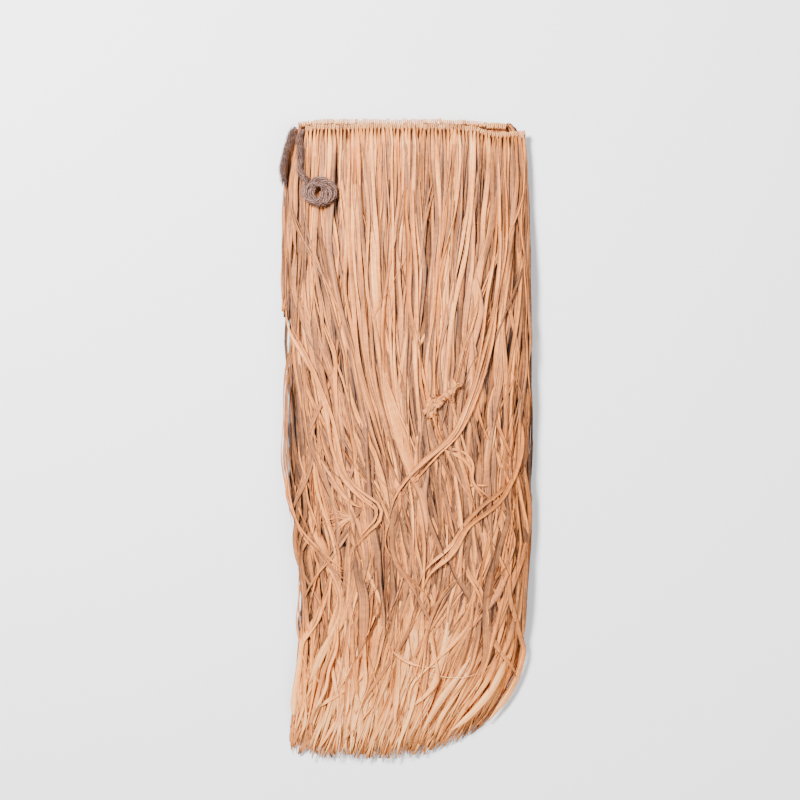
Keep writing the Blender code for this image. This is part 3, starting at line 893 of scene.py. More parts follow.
@dataclass(frozen=True)
class CordFinish:
    """Hairy plied cord: its colours from shade to light, and how rough it is."""

    name: str
    stops: Stops
    roughness: float = 0.88
    bump: float = 0.6
    bump_height: float = 0.0006

    def material(self, group: bpy.types.NodeTree) -> bpy.types.Material:
        """Makes the material.

        Args:
            group: The plied fibre group.

        Returns:
            The material, which reads object coordinates and the cord's yarn value.
        """
        made, shader, surface = new_material(self.name)
        place = shader.add("ShaderNodeTexCoord").outputs["Object"]
        inputs = {"Place": place, "Yarn": shader.value("yarn")}
        fibre = shader.add("ShaderNodeGroup", inputs, node_tree=group)
        bump = shader.add("ShaderNodeBump", {
            "Strength": self.bump,
            "Distance": self.bump_height,
            "Height": fibre.outputs["Height"],
        })
        shader.feed(surface, {
            "Base Color": shader.ramp(fibre.outputs["Shade"], self.stops),
            "Roughness": self.roughness,
            "Normal": bump.outputs["Normal"],
        })
        return made


RAFFIA = LeafFinish(
    "raffia",
    (
        (0.00, (0.028, 0.012, 0.0065)),
        (0.20, (0.096, 0.041, 0.022)),
        (0.465, (0.345, 0.129, 0.050)),
        (0.67, (0.700, 0.234, 0.055)),
        (0.80, (0.880, 0.350, 0.095)),
        (1.00, (0.930, 0.500, 0.230)),
    ),
    stain=(0.86, 0.62, 0.36),
    reach=0.8,
)
SHADED_RAFFIA = LeafFinish(
    "raffia_shaded",
    (
        (0.00, (0.038, 0.014, 0.006)),
        (0.45, (0.165, 0.060, 0.024)),
        (1.00, (0.540, 0.198, 0.064)),
    ),
    stain=(0.86, 0.62, 0.36),
)
PALE_RAFFIA = LeafFinish(
    "raffia_heading",
    (
        (0.00, (0.220, 0.082, 0.032)),
        (0.50, (0.650, 0.285, 0.112)),
        (1.00, (0.860, 0.450, 0.190)),
    ),
    stain=(0.90, 0.74, 0.54),
)
JUTE = CordFinish(
    "jute",
    (
        (0.00, (0.018, 0.008, 0.005)),
        (0.40, (0.084, 0.039, 0.028)),
        (1.00, (0.400, 0.212, 0.156)),
    ),
)


@dataclass
class Laying:
    """Lays strands down the mound along the skirt's flow.

    The pairs `late`, `held` and `wider` say how far below the waist a change starts and over what
    length it happens. Each pair of swings says the shortest and the longest wavelength, and
    `margin` says a mean and its spread.
    """

    mound: Mound
    seed: int
    stations: int = 36
    step: float = 0.004
    first: float = 0.006
    shared_swing: tuple[float, float] = (0.16, 0.42)
    own_swing: tuple[float, float] = (0.09, 0.32)
    quick_swing: tuple[float, float] = (0.045, 0.11)
    height_swing: tuple[float, float] = (0.10, 0.30)
    bow: float = 0.34
    margin: tuple[float, float] = (0.0030, 0.0026)
    late: tuple[float, float] = (0.42, 0.10)
    late_pull: float = 0.95
    held: tuple[float, float] = (0.03, 0.06)
    hold: float = 0.25
    clipped_from: float = 0.09
    past_left: float = 0.0030
    past_right: float = 0.0026
    gather: float = 0.0018
    opened: float = 0.020
    settled: float = 0.045
    wider: tuple[float, float] = (0.34, 0.20)
    flat_width: float = 0.0036
    full_run: float = 0.55
    chance: np.random.Generator = field(init=False)

    def __post_init__(self) -> None:
        """Starts the seeded random numbers."""
        self.chance = np.random.default_rng(self.seed)

    def waves(self, count: int, belows: np.ndarray, lengths: tuple[float, float]) -> np.ndarray:
        """Makes smooth swings down each strand, about one high.

        Args:
            count: How many strands.
            belows: Distances below the waist.
            lengths: The shortest and the longest wavelength.

        Returns:
            A row for each strand.
        """
        total = np.zeros((count, len(belows)))
        for weight in (0.7, 0.45):
            length = self.chance.uniform(*lengths, (count, 1))
            phase = self.chance.uniform(0, 2 * math.pi, (count, 1))
            total += weight * np.sin(2 * math.pi * belows[None, :] / length + phase)
        return total

    def ripple(self, count: int, slow: float, fast: float, run: np.ndarray | float = 1.0) -> np.ndarray:
        """Makes smooth swings by station for each strand, about one high.

        Args:
            count: How many strands.
            slow: The fewest swings down a full strand.
            fast: The most swings down a full strand.
            run: How long each strand is as a share of a full one.

        Returns:
            A row for each strand.
        """
        shares = np.linspace(0, 1, self.stations)[None, :] * run
        total = np.zeros((count, self.stations))
        for weight in (0.7, 0.5):
            turns = self.chance.uniform(slow, fast, (count, 1))
            total += weight * np.sin(2 * math.pi * (turns * shares + self.chance.random((count, 1))))
        return total

    def swayed(self, ply: Ply, belows: np.ndarray, locks: np.ndarray) -> np.ndarray:
        """Works out each strand's own lean, part of it shared with its lock.

        Args:
            ply: How the strands lie.
            belows: Distances below the waist.
            locks: The number of the lock that each strand belongs to.

        Returns:
            The leans at every distance.
        """
        count = len(locks)
        shared = np.tanh(1.6 * self.waves(locks.max() + 1, belows, self.shared_swing))[locks]
        own = 0.9 * np.tanh(3.0 * self.waves(count, belows, self.own_swing))
        quick = 0.8 * np.tanh(3.0 * self.waves(count, belows, self.quick_swing))
        loose = self.chance.lognormal(-0.1, 0.5, count)[:, None]
        calm = np.clip(0.22 + (belows - 0.02) / 0.11, 0, 1)[None, :]
        calm = calm * (1 + 0.9 * fade(belows, 0.28, 0.16)[None, :])
        bowed = 0.6 * self.chance.normal(0, 1, count)[:, None]
        bowed = bowed * np.cos(math.pi * belows / self.bow + self.chance.uniform(0, 6.3, (count, 1)))
        return ply.sway * calm * (0.5 * shared + loose * own + bowed + 0.28 * quick)

    def fall(self, roots: np.ndarray, starts: np.ndarray, pull: np.ndarray, sway: np.ndarray,
             belows: np.ndarray) -> np.ndarray:
        """Follows strands down the mound.

        Args:
            roots: Where each strand starts across the skirt.
            starts: How far below the waist each starts.
            pull: How strongly each follows the flow.
            sway: Each strand's own lean at every distance.
            belows: The distances.

        Returns:
            Where each strand is across the skirt at every distance.
        """
        xs = np.empty((len(roots), len(belows)))
        margin = self.chance.normal(*self.margin, len(roots))
        x = roots.copy()
        table = np.array([lean.row() for lean in LEANS])
        rows = [lean.below for lean in LEANS]
        for i, below in enumerate(belows):
            xs[:, i] = x
            leans = [np.interp(below, rows, table[:, c]) for c in range(table.shape[1])]
            strength = pull + (self.late_pull - pull) * fade(below, *self.late)
            move = (np.interp(x, LEAN_X, leans) * strength + sway[:, i]) * self.step
            x = np.where(below >= starts, x + move, x)
            left = self.mound.column("left", below) + margin
            right = self.mound.column("right", below) - margin
            hold = self.hold * fade(below, *self.held)
            x = x + hold * (np.maximum(left - x, 0) - np.maximum(x - right, 0))
            if below > self.clipped_from:
                x = np.clip(x, left - self.past_left, right + self.past_right)
        return xs

    def ends(self, ply: Ply, starts: np.ndarray, xs: np.ndarray, belows: np.ndarray) -> np.ndarray:
        """Finds how far below the waist each strand ends.

        Args:
            ply: How the strands lie.
            starts: How far below the waist each starts.
            xs: Where each is across the skirt at every distance.
            belows: The distances.

        Returns:
            The distances of the tips.
        """
        count = len(starts)
        shorter = ply.shorter * self.chance.random(count) ** 2
        shorter = shorter + np.maximum(self.chance.normal(0.003, 0.010, count), -0.005)
        reach = self.chance.uniform(*ply.reach, count)
        tips = np.empty(count)
        for i in range(count):
            past = belows >= read_line(HEM, xs[i]) - shorter[i]
            tips[i] = min(belows[np.argmax(past)] if past.any() else belows[-1], starts[i] + reach[i])
        return tips

    def heights(self, ply: Ply, x: np.ndarray, at: np.ndarray, rises: np.ndarray,
                belows: np.ndarray) -> np.ndarray:
        """Works out how high strands lie, from their roots onto the mound.

        Args:
            ply: How the strands lie.
            x: Where each station is across the skirt.
            at: How far below the waist each station is.
            rises: How high each strand starts.
            belows: Distances below the waist.

        Returns:
            The stations' heights.
        """
        lift = self.chance.uniform(ply.low, ply.high, len(x))[:, None]
        swings = self.waves(len(x), belows, self.height_swing)
        lift = lift + 0.0007 * np.array([np.interp(at[i], belows, row) for i, row in enumerate(swings)])
        lift = lift * np.clip(0.35 + self.mound.column("rise", at) / 0.030, 0.35, 1)
        high = self.mound.surface(x, at) + np.maximum(lift, 0.0002)
        settle = fade(at, at[:, :1], self.settled)
        settle = settle * settle * (3 - 2 * settle)
        return rises[:, None] * (1 - settle) + high * settle

    def widths(self, ply: Ply, at: np.ndarray, fan: np.ndarray, run: np.ndarray) -> np.ndarray:
        """Works out how wide strands are, from their gathered roots to their blunt tips.

        Args:
            ply: How the strands lie.
            at: How far below the waist each station is.
            fan: How far each station has opened out of its knot.
            run: How long each strand is as a share of a full one.

        Returns:
            The stations' widths.
        """
        count = len(at)
        shares = np.linspace(0, 1, self.stations)
        width = ply.width * np.clip(self.chance.lognormal(0, ply.spread, count), 0.35, 2.6)[:, None]
        slow, quick = self.ripple(count, 2.0, 9.0, run), self.ripple(count, 0.8, 2.5, run)
        width = width * (1 + 0.22 * slow + 0.22 * quick)
        width = width * (0.40 + 0.60 * fan) * (1 - 0.12 * shares**2)
        if 0.002 < ply.width < 0.006:
            width = width * (1 + 0.28 * fade(at, *self.wider))
        blunt = self.chance.uniform(0.04, 0.34, count)[:, None]
        return width * np.clip((1 - shares)[None, :] * 7 + blunt, 0, 1)

    def lay(self, ply: Ply, roots: np.ndarray, starts: np.ndarray, rises: np.ndarray,
            locks: np.ndarray) -> Ribbons:
        """Lays one depth of strands.

        Args:
            ply: How the strands lie.
            roots: Where each starts across the skirt.
            starts: How far below the waist each starts.
            rises: How high each starts.
            locks: The number of the lock that each belongs to.

        Returns:
            The strands.
        """
        count = len(roots)
        chance = self.chance
        belows = np.arange(self.first, LENGTH + self.step, self.step)
        sway = self.swayed(ply, belows, locks)
        pull = ply.pull * chance.uniform(0.45, 1.3, count)
        xs = self.fall(roots, starts, pull, sway, belows)
        tips = self.ends(ply, starts, xs, belows)
        at = starts[:, None] + (tips - starts)[:, None] * np.linspace(0, 1, self.stations)[None, :]
        x = np.array([np.interp(at[i], belows, xs[i]) for i in range(count)])
        fan = fade(at, starts[:, None], self.opened)
        x = x + chance.uniform(-self.gather, self.gather, count)[:, None] * fan * (2 - fan)
        z = self.heights(ply, x, at, rises, belows)
        run = np.clip((tips - starts) / self.full_run, 0.12, 1)[:, None]
        width = self.widths(ply, at, fan, run)
        twist = 0.42 * self.ripple(count, 1.0, 5.0, run) + chance.normal(0, 0.25, count)[:, None]
        folds = chance.uniform(0.03, 0.20, count) * chance.choice([-1, 1, 1], count)
        folds = folds * np.clip(self.flat_width / width.mean(axis=1), 0.25, 1)
        tones = ply.tone + chance.normal(0, 0.09, locks.max() + 1)[locks] + chance.normal(0, 0.22, count)
        tones = np.clip(tones, max(0.06, ply.tone - 0.21), 0.92)
        lines = in_frame(x, at, z)
        return Ribbons(lines, self.mound.facing(x, at), width, twist, folds, tones)


@dataclass(frozen=True)
class Burst:
    """A leaf's end split into fibres that spread in a fan."""

    centre: Point = Point(-0.0578, 0.4180)
    rays: int = 26
    width: float = 0.0013
    lengths: tuple[float, float] = (0.014, 0.034)
    lift: float = 0.0076

    def lay(self, laying: Laying) -> Ribbons:
        """Lays the fibres.

        Args:
            laying: The seeded laying.

        Returns:
            The fibres.
        """
        chance = laying.chance
        angle = math.pi + chance.normal(0, 0.85, self.rays)
        length = chance.uniform(*self.lengths, self.rays)
        shares = np.linspace(0, 1, laying.stations)[None, :]
        bend = angle[:, None] + chance.normal(0, 0.35, self.rays)[:, None] * shares
        x = self.centre.x + length[:, None] * shares * np.cos(bend)
        below = self.centre.below - length[:, None] * shares * np.sin(bend)
        z = laying.mound.surface(x, below) + self.lift
        z = z + 0.0012 * shares * chance.random(self.rays)[:, None]
        return Ribbons(
            in_frame(x, below, z),
            laying.mound.facing(x, below),
            self.width * (1.15 - shares) * np.ones((self.rays, 1)),
            np.zeros((self.rays, laying.stations)),
            np.full(self.rays, 0.15),
            0.86 + chance.normal(0, 0.1, self.rays),
        )


@dataclass(frozen=True)
class Crumple:
    """A leaf crushed into a knot of short bent pieces."""

    centre: Point = Point(0.0350, 0.2930)
    pieces: int = 12
    tilt: float = math.radians(-38)
    half_length: float = 0.0185
    half_breadth: float = 0.0022
    lengths: tuple[float, float] = (0.012, 0.026)
    widths: tuple[float, float] = (0.0046, 0.0084)
    humps: tuple[float, float] = (0.002, 0.008)
    lift: float = 0.0072

    def lay(self, laying: Laying) -> Ribbons:
        """Lays the short pieces.

        Args:
            laying: The seeded laying.

        Returns:
            The pieces.
        """
        chance, pieces = laying.chance, self.pieces
        shares = np.linspace(-0.5, 0.5, laying.stations)[None, :]
        along = chance.uniform(-self.half_length, self.half_length, pieces)[:, None]
        aside = chance.normal(0, self.half_breadth, pieces)[:, None]
        length = chance.uniform(*self.lengths, pieces)[:, None]
        turn = self.tilt + chance.normal(0, 0.48, pieces)[:, None]
        turn = turn + chance.normal(0, 0.8, pieces)[:, None] * shares
        x = self.centre.x + along * math.cos(self.tilt) - aside * math.sin(self.tilt)
        below = self.centre.below + along * math.sin(self.tilt) + aside * math.cos(self.tilt)
        x = x + length * shares * np.cos(turn)
        below = below + length * shares * np.sin(turn)
        hump = (0.25 - shares**2) * chance.uniform(*self.humps, pieces)[:, None]
        z = laying.mound.surface(x, below) + self.lift + hump
        z = z + chance.uniform(0, 0.0012, pieces)[:, None]
        width = chance.uniform(*self.widths, pieces)[:, None] * np.clip(6.0 * (0.56 - np.abs(shares)), 0, 1)
        return Ribbons(
            in_frame(x, below, z),
            laying.mound.facing(x, below),
            width * (1 + 0.3 * laying.ripple(pieces, 1.0, 4.0)),
            0.8 * laying.ripple(pieces, 0.5, 2.0),
            chance.uniform(0.12, 0.30, pieces) * chance.choice([-1, 1], pieces),
            0.84 + chance.normal(0, 0.10, pieces),
        )


@dataclass
class FrontLocks:
    """The front layer: locks of raffia that hang from the front heading."""

    mound: Mound
    finish: bpy.types.Material
    seed: int = 21
    ends_seed: int = 91
    knots: int = 58
    stride: int = 37
    root_lift: float = 0.0006
    # The tone column (the ninth) runs darker for the deeper plies: painted shade, which falls in the gaps
    # under the strands above.
    plies: tuple[Ply, ...] = (
        Ply(232, 70, 50, 0.0002, 0.0014, 0.0030, 0.25, 0.05, 0.11, 0.05),
        Ply(174, 64, 50, 0.0020, 0.0042, 0.0032, 0.60, 0.07, 0.42, 0.06, 0.42),
        Ply(92, 44, 40, 0.0042, 0.0066, 0.0038, 1.05, 0.10, 0.62, 0.10, 0.40),
        Ply(16, 8, 8, 0.0040, 0.0064, 0.0064, 0.90, 0.06, 0.66, 0.06, 0.22),
        Ply(0, 22, 78, 0.0054, 0.0074, 0.0042, 0.90, 0.20, 0.70, 0.06, 0.36, (0.06, 0.26)),
        Ply(14, 8, 24, 0.0056, 0.0078, 0.0010, 1.10, 0.20, 0.66, 0.30, 0.30, (0.06, 0.40)),
    )
    routes: tuple[Route, ...] = ROUTES

    def build(self) -> list[bpy.types.Object]:
        """Builds the front layer's strands in a few pieces.

        Returns:
            The pieces, deepest first.
        """
        laying = Laying(self.mound, self.seed)
        pieces = []
        for number, ply in enumerate(self.plies, start=1):
            batch = self.rooted(laying, ply)
            if ply is self.plies[-1]:
                placed = [strand for route in self.routes for strand in self.follow(laying, route)]
                ends = Laying(self.mound, self.ends_seed)
                batch = join([batch, *placed, Burst().lay(ends), Crumple().lay(ends)])
            mesh = ribbon_mesh(f"front_locks_{number}", batch)
            pieces.append(dress(mesh, self.finish, "raffia", "fringe_front"))
        return pieces

    def rooted(self, laying: Laying, ply: Ply) -> Ribbons:
        """Lays a depth of strands, from the front heading's knots and from under the others.

        Args:
            laying: The seeded laying.
            ply: How the strands lie.

        Returns:
            The strands.
        """
        chance, lift = laying.chance, self.root_lift
        locks = (np.arange(ply.knotted) + chance.integers(0, self.knots)) * self.stride % self.knots
        start, end = FRONT_LINE[0].x, FRONT_LINE[-1].x
        centres = start + (end - start) * (locks + 0.5) / self.knots
        roots = centres + chance.uniform(-0.0006, 0.0006, ply.knotted)
        starts = read_line(FRONT_LINE, roots) + lift + chance.uniform(0, 0.0012, ply.knotted)
        rises = read_line(FRONT_LINE, roots, "rise") + lift + ply.low * 0.45
        rises = rises + chance.uniform(-0.0003, 0.0005, ply.knotted)
        sides = self.risen(laying, ply, ply.from_sides, Rising.BESIDE)
        within = self.risen(laying, ply, ply.from_within, Rising.WITHIN)
        places = [np.concatenate(columns) for columns in zip((roots, starts, rises), sides, within)]
        loose = self.knots + np.arange(ply.from_sides + ply.from_within) // 3
        return laying.lay(ply, *places, np.concatenate([locks, loose]))

    def risen(self, laying: Laying, ply: Ply, count: int,
              rising: Rising) -> tuple[np.ndarray, np.ndarray, np.ndarray]:
        """Picks where strands come up from between the others.

        Args:
            laying: The seeded laying.
            ply: How the strands lie.
            count: How many strands.
            rising: Where they come up.

        Returns:
            Their places across the skirt, distances below the waist, and heights.
        """
        chance = laying.chance
        starts = chance.uniform(*rising.value, count)
        centre, half = self.mound.middle(starts)
        shares = chance.uniform(-0.9, 0.9, count)
        if rising is Rising.BESIDE:
            shares = chance.choice([-1.0, 1.0], count) * chance.uniform(0.72, 0.985, count)
        roots = centre + half * shares
        rises = self.mound.surface(roots, starts) + ply.low - 0.0012
        return roots, starts, np.maximum(rises, 0.0006)

    def follow(self, laying: Laying, route: Route) -> list[Ribbons]:
        """Lays the strands of one route side by side, which cross the others.

        Args:
            laying: The seeded laying.
            route: Where they run.

        Returns:
            The strands.
        """
        chance, many = laying.chance, route.strands
        shares = np.linspace(0, 1, laying.stations)
        points = np.array(route.points) / ROUTE_STEPS_A_METRE
        run = run_along(points)
        share = min(run[-1] / 0.5, 1.0)
        wide = route.width * (1.0 if many == 1 else route.fill / many)
        strands = []
        for number in range(many):
            first = 0.06 * run[-1] * chance.random() * (not route.rooted)
            at = first + (run[-1] * chance.uniform(0.86, 1.0) - first) * shares
            x, below = smooth(run, points[:, 0], at), smooth(run, points[:, 1], at)
            aside = 0.92 * (number - (many - 1) / 2) + 0.55 * laying.ripple(1, 0.5, 3.0)[0]
            shift = wide * aside * (many > 1)
            heading = unit(np.stack([np.gradient(x), np.gradient(below)], axis=-1))
            x = x + shift * heading[:, 1] + 0.0004 * laying.ripple(1, 3.0, 9.0, share)[0]
            below = below - shift * heading[:, 0]
            settle = fade(at, at[0], 0.06) ** 0.7
            ground = self.mound.surface(x, below)
            start = read_line(FRONT_LINE, x, "rise") if route.rooted else ground + route.lift - 0.0028
            lift = route.lift + 0.0006 * (number % 2) + 0.0003 * laying.ripple(1, 1.0, 4.0)[0]
            high = ground + lift * np.clip(0.25 + ground / 0.014, 0.25, 1)
            z = start * (1 - settle) + high * settle
            width = wide * chance.uniform(0.8, 1.2) * (1 + 0.22 * laying.ripple(1, 2.0, 7.0, share)[0])
            tips = np.clip(0.30 + 4 * shares, 0, 1), np.clip(0.12 + 5 * (1 - shares), 0, 1)
            strands.append(Ribbons(
                in_frame(x, below, z)[None],
                self.mound.facing(x, below)[None],
                (width * np.minimum(*tips))[None],
                0.45 * laying.ripple(1, 1.0, 4.0, share),
                chance.uniform(0.10, 0.26, 1) * chance.choice([-1, 1]) * min(1, laying.flat_width / wide),
                np.array([route.tone + chance.normal(0, 0.07)]),
            ))
        return strands


@dataclass(frozen=True)
class Band:
    """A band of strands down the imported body: where round it, how many, and how they look."""

    low: float
    high: float
    count: int
    width: float
    tone: float
    lift: float


@dataclass
class LowerLayers:
    """The layers under the front one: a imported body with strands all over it."""

    mound: Mound
    finish: bpy.types.Material
    around: int = 300
    down: int = 90
    top: float = 0.0030
    end: float = 0.640
    inset: float = 0.004
    ridge: float = 0.0006
    lobes: int = 4
    groove: float = 0.0022
    base: float = 0.0009
    over: tuple[Band, ...] = (
        Band(0.003, 0.12, 100, 0.0032, 0.50, 0.0034),
        Band(0.38, 0.497, 100, 0.0032, 0.50, 0.0034),
        Band(0.10, 0.40, 170, 0.0048, 0.26, 0.0012),
    )
    under: Band = Band(0.51, 0.99, 120, 0.0046, 0.36, 0.0006)

    def outline(self, turns: np.ndarray, belows: np.ndarray, out: np.ndarray) -> np.ndarray:
        """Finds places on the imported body's skin.

        Args:
            turns: How far round the section, from 0 at the right edge over the top to 0.5 at
                the left edge, and under the skirt back to 1.
            belows: Distances below the waist.
            out: How far out of the skin.

        Returns:
            The places.
        """
        angle = 2 * math.pi * turns
        over = turns <= 0.5
        power = 2 / self.mound.roundness
        across = np.sign(np.cos(angle)) * np.abs(np.cos(angle)) ** power
        height = np.where(over, np.abs(np.sin(angle)) ** power, 0.0)
        across = np.where(over, across, 1 - 4 * (1 - turns))
        centre, half = self.mound.middle(belows)
        groove = self.groove * np.abs(np.sin(math.pi * self.lobes * height / 0.8)) * (height < 0.8)
        waist = np.sqrt(fade(belows, self.top, 0.010, 0.02))
        hem = np.sqrt(np.clip((self.end - belows) / 0.05, 0.03, 1))
        high = (self.mound.column("rise", belows) - 0.0006) * waist * hem
        x = centre + (half - self.inset + out + groove - self.groove) * across
        z = self.base + np.where(over, (high - self.base) * height + out * height, -out)
        return in_frame(x, belows, np.maximum(z, 0.0001))

    def packed(self) -> bpy.types.Mesh:
        """Models the body itself, ridged along the strands, with painted shade darker between the ridges.

        Returns:
            Its mesh.
        """
        chance = np.random.default_rng(5)
        turns = np.arange(self.around) / self.around
        belows = self.top + (self.end - self.top) * np.linspace(0, 1, self.down) ** 0.97
        slow = smooth(np.linspace(0, 1, 12), chance.normal(0, 0.8, 12), np.linspace(0, 1, self.down))
        phase = np.cumsum(chance.uniform(0.8, 1.6, self.around)) * 1.7
        height = np.sin(phase[None, :] + slow[:, None]) * chance.uniform(0.4, 1, self.around)
        turned, below = np.meshgrid(turns, belows)
        mesh = ringed_mesh("lower_layers", self.outline(turned, below, self.ridge * (height - 1)))
        # Lighter on the ridges and darker between them, as painted shade in the grooves, with a random tone
        # on each column.
        tones = 0.30 + 0.22 * height + chance.normal(0, 0.10, self.around)[None, :]
        set_values(mesh, "tone", tones.ravel())
        set_values(mesh, "strand", np.zeros(tones.size))
        set_values(mesh, "gold", np.full(tones.size, 0.4))
        close_ends(mesh)
        set_uvs(mesh, np.stack([turned * 0.6, below], axis=-1).reshape(-1, 2))
        return mesh

    def wrapped(self, laying: Laying, band: Band) -> Ribbons:
        """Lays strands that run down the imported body's skin.

        Args:
            laying: The seeded laying.
            band: Which ones.

        Returns:
            The strands.
        """
        chance, count = laying.chance, band.count
        shares = np.linspace(0, 1, laying.stations)
        first = self.top + chance.uniform(0.000, 0.006, count)
        last = self.end - 0.012 - 0.10 * chance.random(count) ** 2
        belows = first[:, None] + (last - first)[:, None] * shares[None, :]
        centres = band.low + (band.high - band.low) * (np.arange(count) + chance.uniform(0, 1, count)) / count
        turns = centres[:, None] + 0.010 * laying.ripple(count, 0.5, 2.0)
        turns = np.clip(turns, band.low, band.high)
        out = chance.uniform(0.0002, band.lift, count)[:, None] * np.ones_like(turns)
        lines = self.outline(turns, belows, out)
        step = self.outline(turns + 0.002, belows, out) - self.outline(turns - 0.002, belows, out)
        facing = unit(np.stack([step[..., 2], np.zeros_like(turns), -step[..., 0]], axis=-1))
        widths = band.width * np.clip(chance.lognormal(0, 0.35, count), 0.4, 2.2)[:, None]
        widths = widths * (1 + 0.2 * laying.ripple(count, 3.0, 8.0)) * np.clip(0.4 + 8 * (1 - shares), 0, 1)
        twists = 0.16 * laying.ripple(count, 1.0, 3.0)
        tones = band.tone + chance.normal(0, 0.15, count)
        return Ribbons(lines, facing, widths, twists, chance.normal(0.02, 0.05, count), tones)

    def build(self) -> list[bpy.types.Object]:
        """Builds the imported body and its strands.

        Returns:
            The pieces.
        """
        laying = Laying(self.mound, 33, stations=30)
        over = ribbon_mesh("lower_strands", join([self.wrapped(laying, band) for band in self.over]))
        under = ribbon_mesh("table_side_strands", self.wrapped(laying, self.under))
        meshes = (over, under, self.packed())
        return [dress(mesh, self.finish, "raffia_shaded", "folded_layers") for mesh in meshes]


@dataclass
class HemLocks:
    """Ends of the lower layers' locks, fanned out under the front layer's hem."""

    mound: Mound
    finish: bpy.types.Material
    ply: Ply = Ply(0, 0, 260, -0.0040, 0.0010, 0.0038, 1.0, 0.16, 0.48, 0.03)
    first: float = 0.555
    lowest: float = 0.0009

    def build(self) -> list[bpy.types.Object]:
        """Builds the fan of ends.

        Returns:
            The one piece.
        """
        laying = Laying(self.mound, 44, stations=12)
        chance, count = laying.chance, self.ply.from_within
        starts = self.first + chance.uniform(0, 0.05, count)
        centre, half = self.mound.middle(starts)
        roots = centre + half * chance.uniform(-0.95, 0.95, count)
        rises = self.mound.surface(roots, starts) * chance.uniform(0.15, 0.95, count)
        batch = laying.lay(self.ply, roots, starts, rises, np.arange(count) // 3)
        batch.lines[..., 2] = np.maximum(batch.lines[..., 2], self.lowest)
        return [dress(ribbon_mesh("hem_locks", batch), self.finish, "raffia_shaded", "fringe_hem")]


@dataclass
class LeftLocks:
    """Locks of a lower layer that show along the left edge and end a third of the way down."""

    mound: Mound
    finish: bpy.types.Material
    strands: int = 54
    first: float = 0.010
    last: float = 0.212
    root: float = -0.1215
    tip: float = -0.1310
    low: float = 0.0030
    width: float = 0.0030
    facing: tuple[float, float, float] = (-0.35, 0.0, 0.94)
    pale_strands: int = 9
    pale_route: tuple[tuple[float, float], ...] = (
        (-0.1128, 0.0080), (-0.1136, 0.0200), (-0.1166, 0.0420), (-0.1190, 0.0660), (-0.1200, 0.0900),
        (-0.1210, 0.1250), (-0.1222, 0.1650))

    def build(self) -> list[bpy.types.Object]:
        """Builds the locks.

        Returns:
            The one piece.
        """
        laying = Laying(self.mound, 55, stations=24)
        batch = join([self.edge(laying), self.between_ties(laying)])
        return [dress(ribbon_mesh("left_locks", batch), self.finish, "raffia", "fringe_left")]

    def edge(self, laying: Laying) -> Ribbons:
        """Lays the locks along the edge.

        Args:
            laying: The seeded laying.

        Returns:
            Their strands.
        """
        chance, count = laying.chance, self.strands
        shares = np.linspace(0, 1, laying.stations)
        inward = chance.random(count)
        first = self.first + chance.uniform(0, 0.004, count)
        last = self.last + chance.uniform(-0.034, 0.006, count) - 0.03 * inward
        below = first[:, None] + (last - first)[:, None] * shares[None, :]
        spread = np.clip(shares * 2.4, 0, 1)[None, :] ** 0.8
        root = self.root + 0.014 * inward[:, None]
        tip = self.tip + 0.018 * inward[:, None]
        x = root + (tip - root) * spread + 0.0008 * laying.ripple(count, 1.0, 2.5)
        rise = (self.low + 0.0075 * inward + chance.uniform(0, 0.0015, count))[:, None]
        z = rise + 0.0004 * laying.ripple(count, 1.0, 3.0)
        lines = in_frame(x, below, z)
        width = self.width * np.clip(chance.lognormal(0, 0.3, count), 0.5, 1.8)[:, None]
        width = width * (1 + 0.2 * laying.ripple(count, 2.0, 5.0)) * np.clip(0.5 + 4 * shares, 0, 1)
        twist = 0.2 * laying.ripple(count, 1.0, 3.0)
        tones = 0.46 + chance.normal(0, 0.13, count)
        folds = chance.normal(0.02, 0.05, count)
        return Ribbons(lines, np.ones_like(lines) * self.facing, width, twist, folds, tones)

    def between_ties(self, laying: Laying) -> Ribbons:
        """Lays the pale lock that falls from the back heading between the two ties.

        Args:
            laying: The seeded laying.

        Returns:
            Its strands.
        """
        chance, count = laying.chance, self.pale_strands
        route = np.array(self.pale_route)
        run = run_along(route)
        shares = np.linspace(0, 1, laying.stations)
        at = run[-1] * chance.uniform(0.70, 1.0, count)[:, None] * shares[None, :]
        spread = (np.arange(count) / (count - 1) - 0.5)[:, None]
        spread = spread * (0.0016 + 0.0060 * np.clip(2.5 * shares, 0, 1))
        x = smooth(run, route[:, 0], at) + spread + 0.0005 * laying.ripple(count, 1.0, 3.0)
        below = smooth(run, route[:, 1], at)
        low = np.maximum(self.mound.surface(x, below), 0.0050)
        z = 0.0100 + (np.maximum(low + 0.0050, 0.0125) - 0.0100) * np.clip(4 * shares, 0, 1)
        width = chance.uniform(0.0018, 0.0040, count)[:, None] * np.clip(0.35 + 3 * shares, 0, 1)
        width = width * np.clip(0.15 + 6 * (1 - shares), 0, 1) * (1 + 0.2 * laying.ripple(count, 2.0, 5.0))
        z = z + chance.uniform(0, 0.0012, count)[:, None]
        return Ribbons(
            in_frame(x, below, z),
            self.mound.facing(x, below),
            width,
            0.3 * laying.ripple(count, 1.0, 3.0),
            chance.uniform(0.08, 0.25, count),
            0.72 + chance.normal(0, 0.1, count),
        )


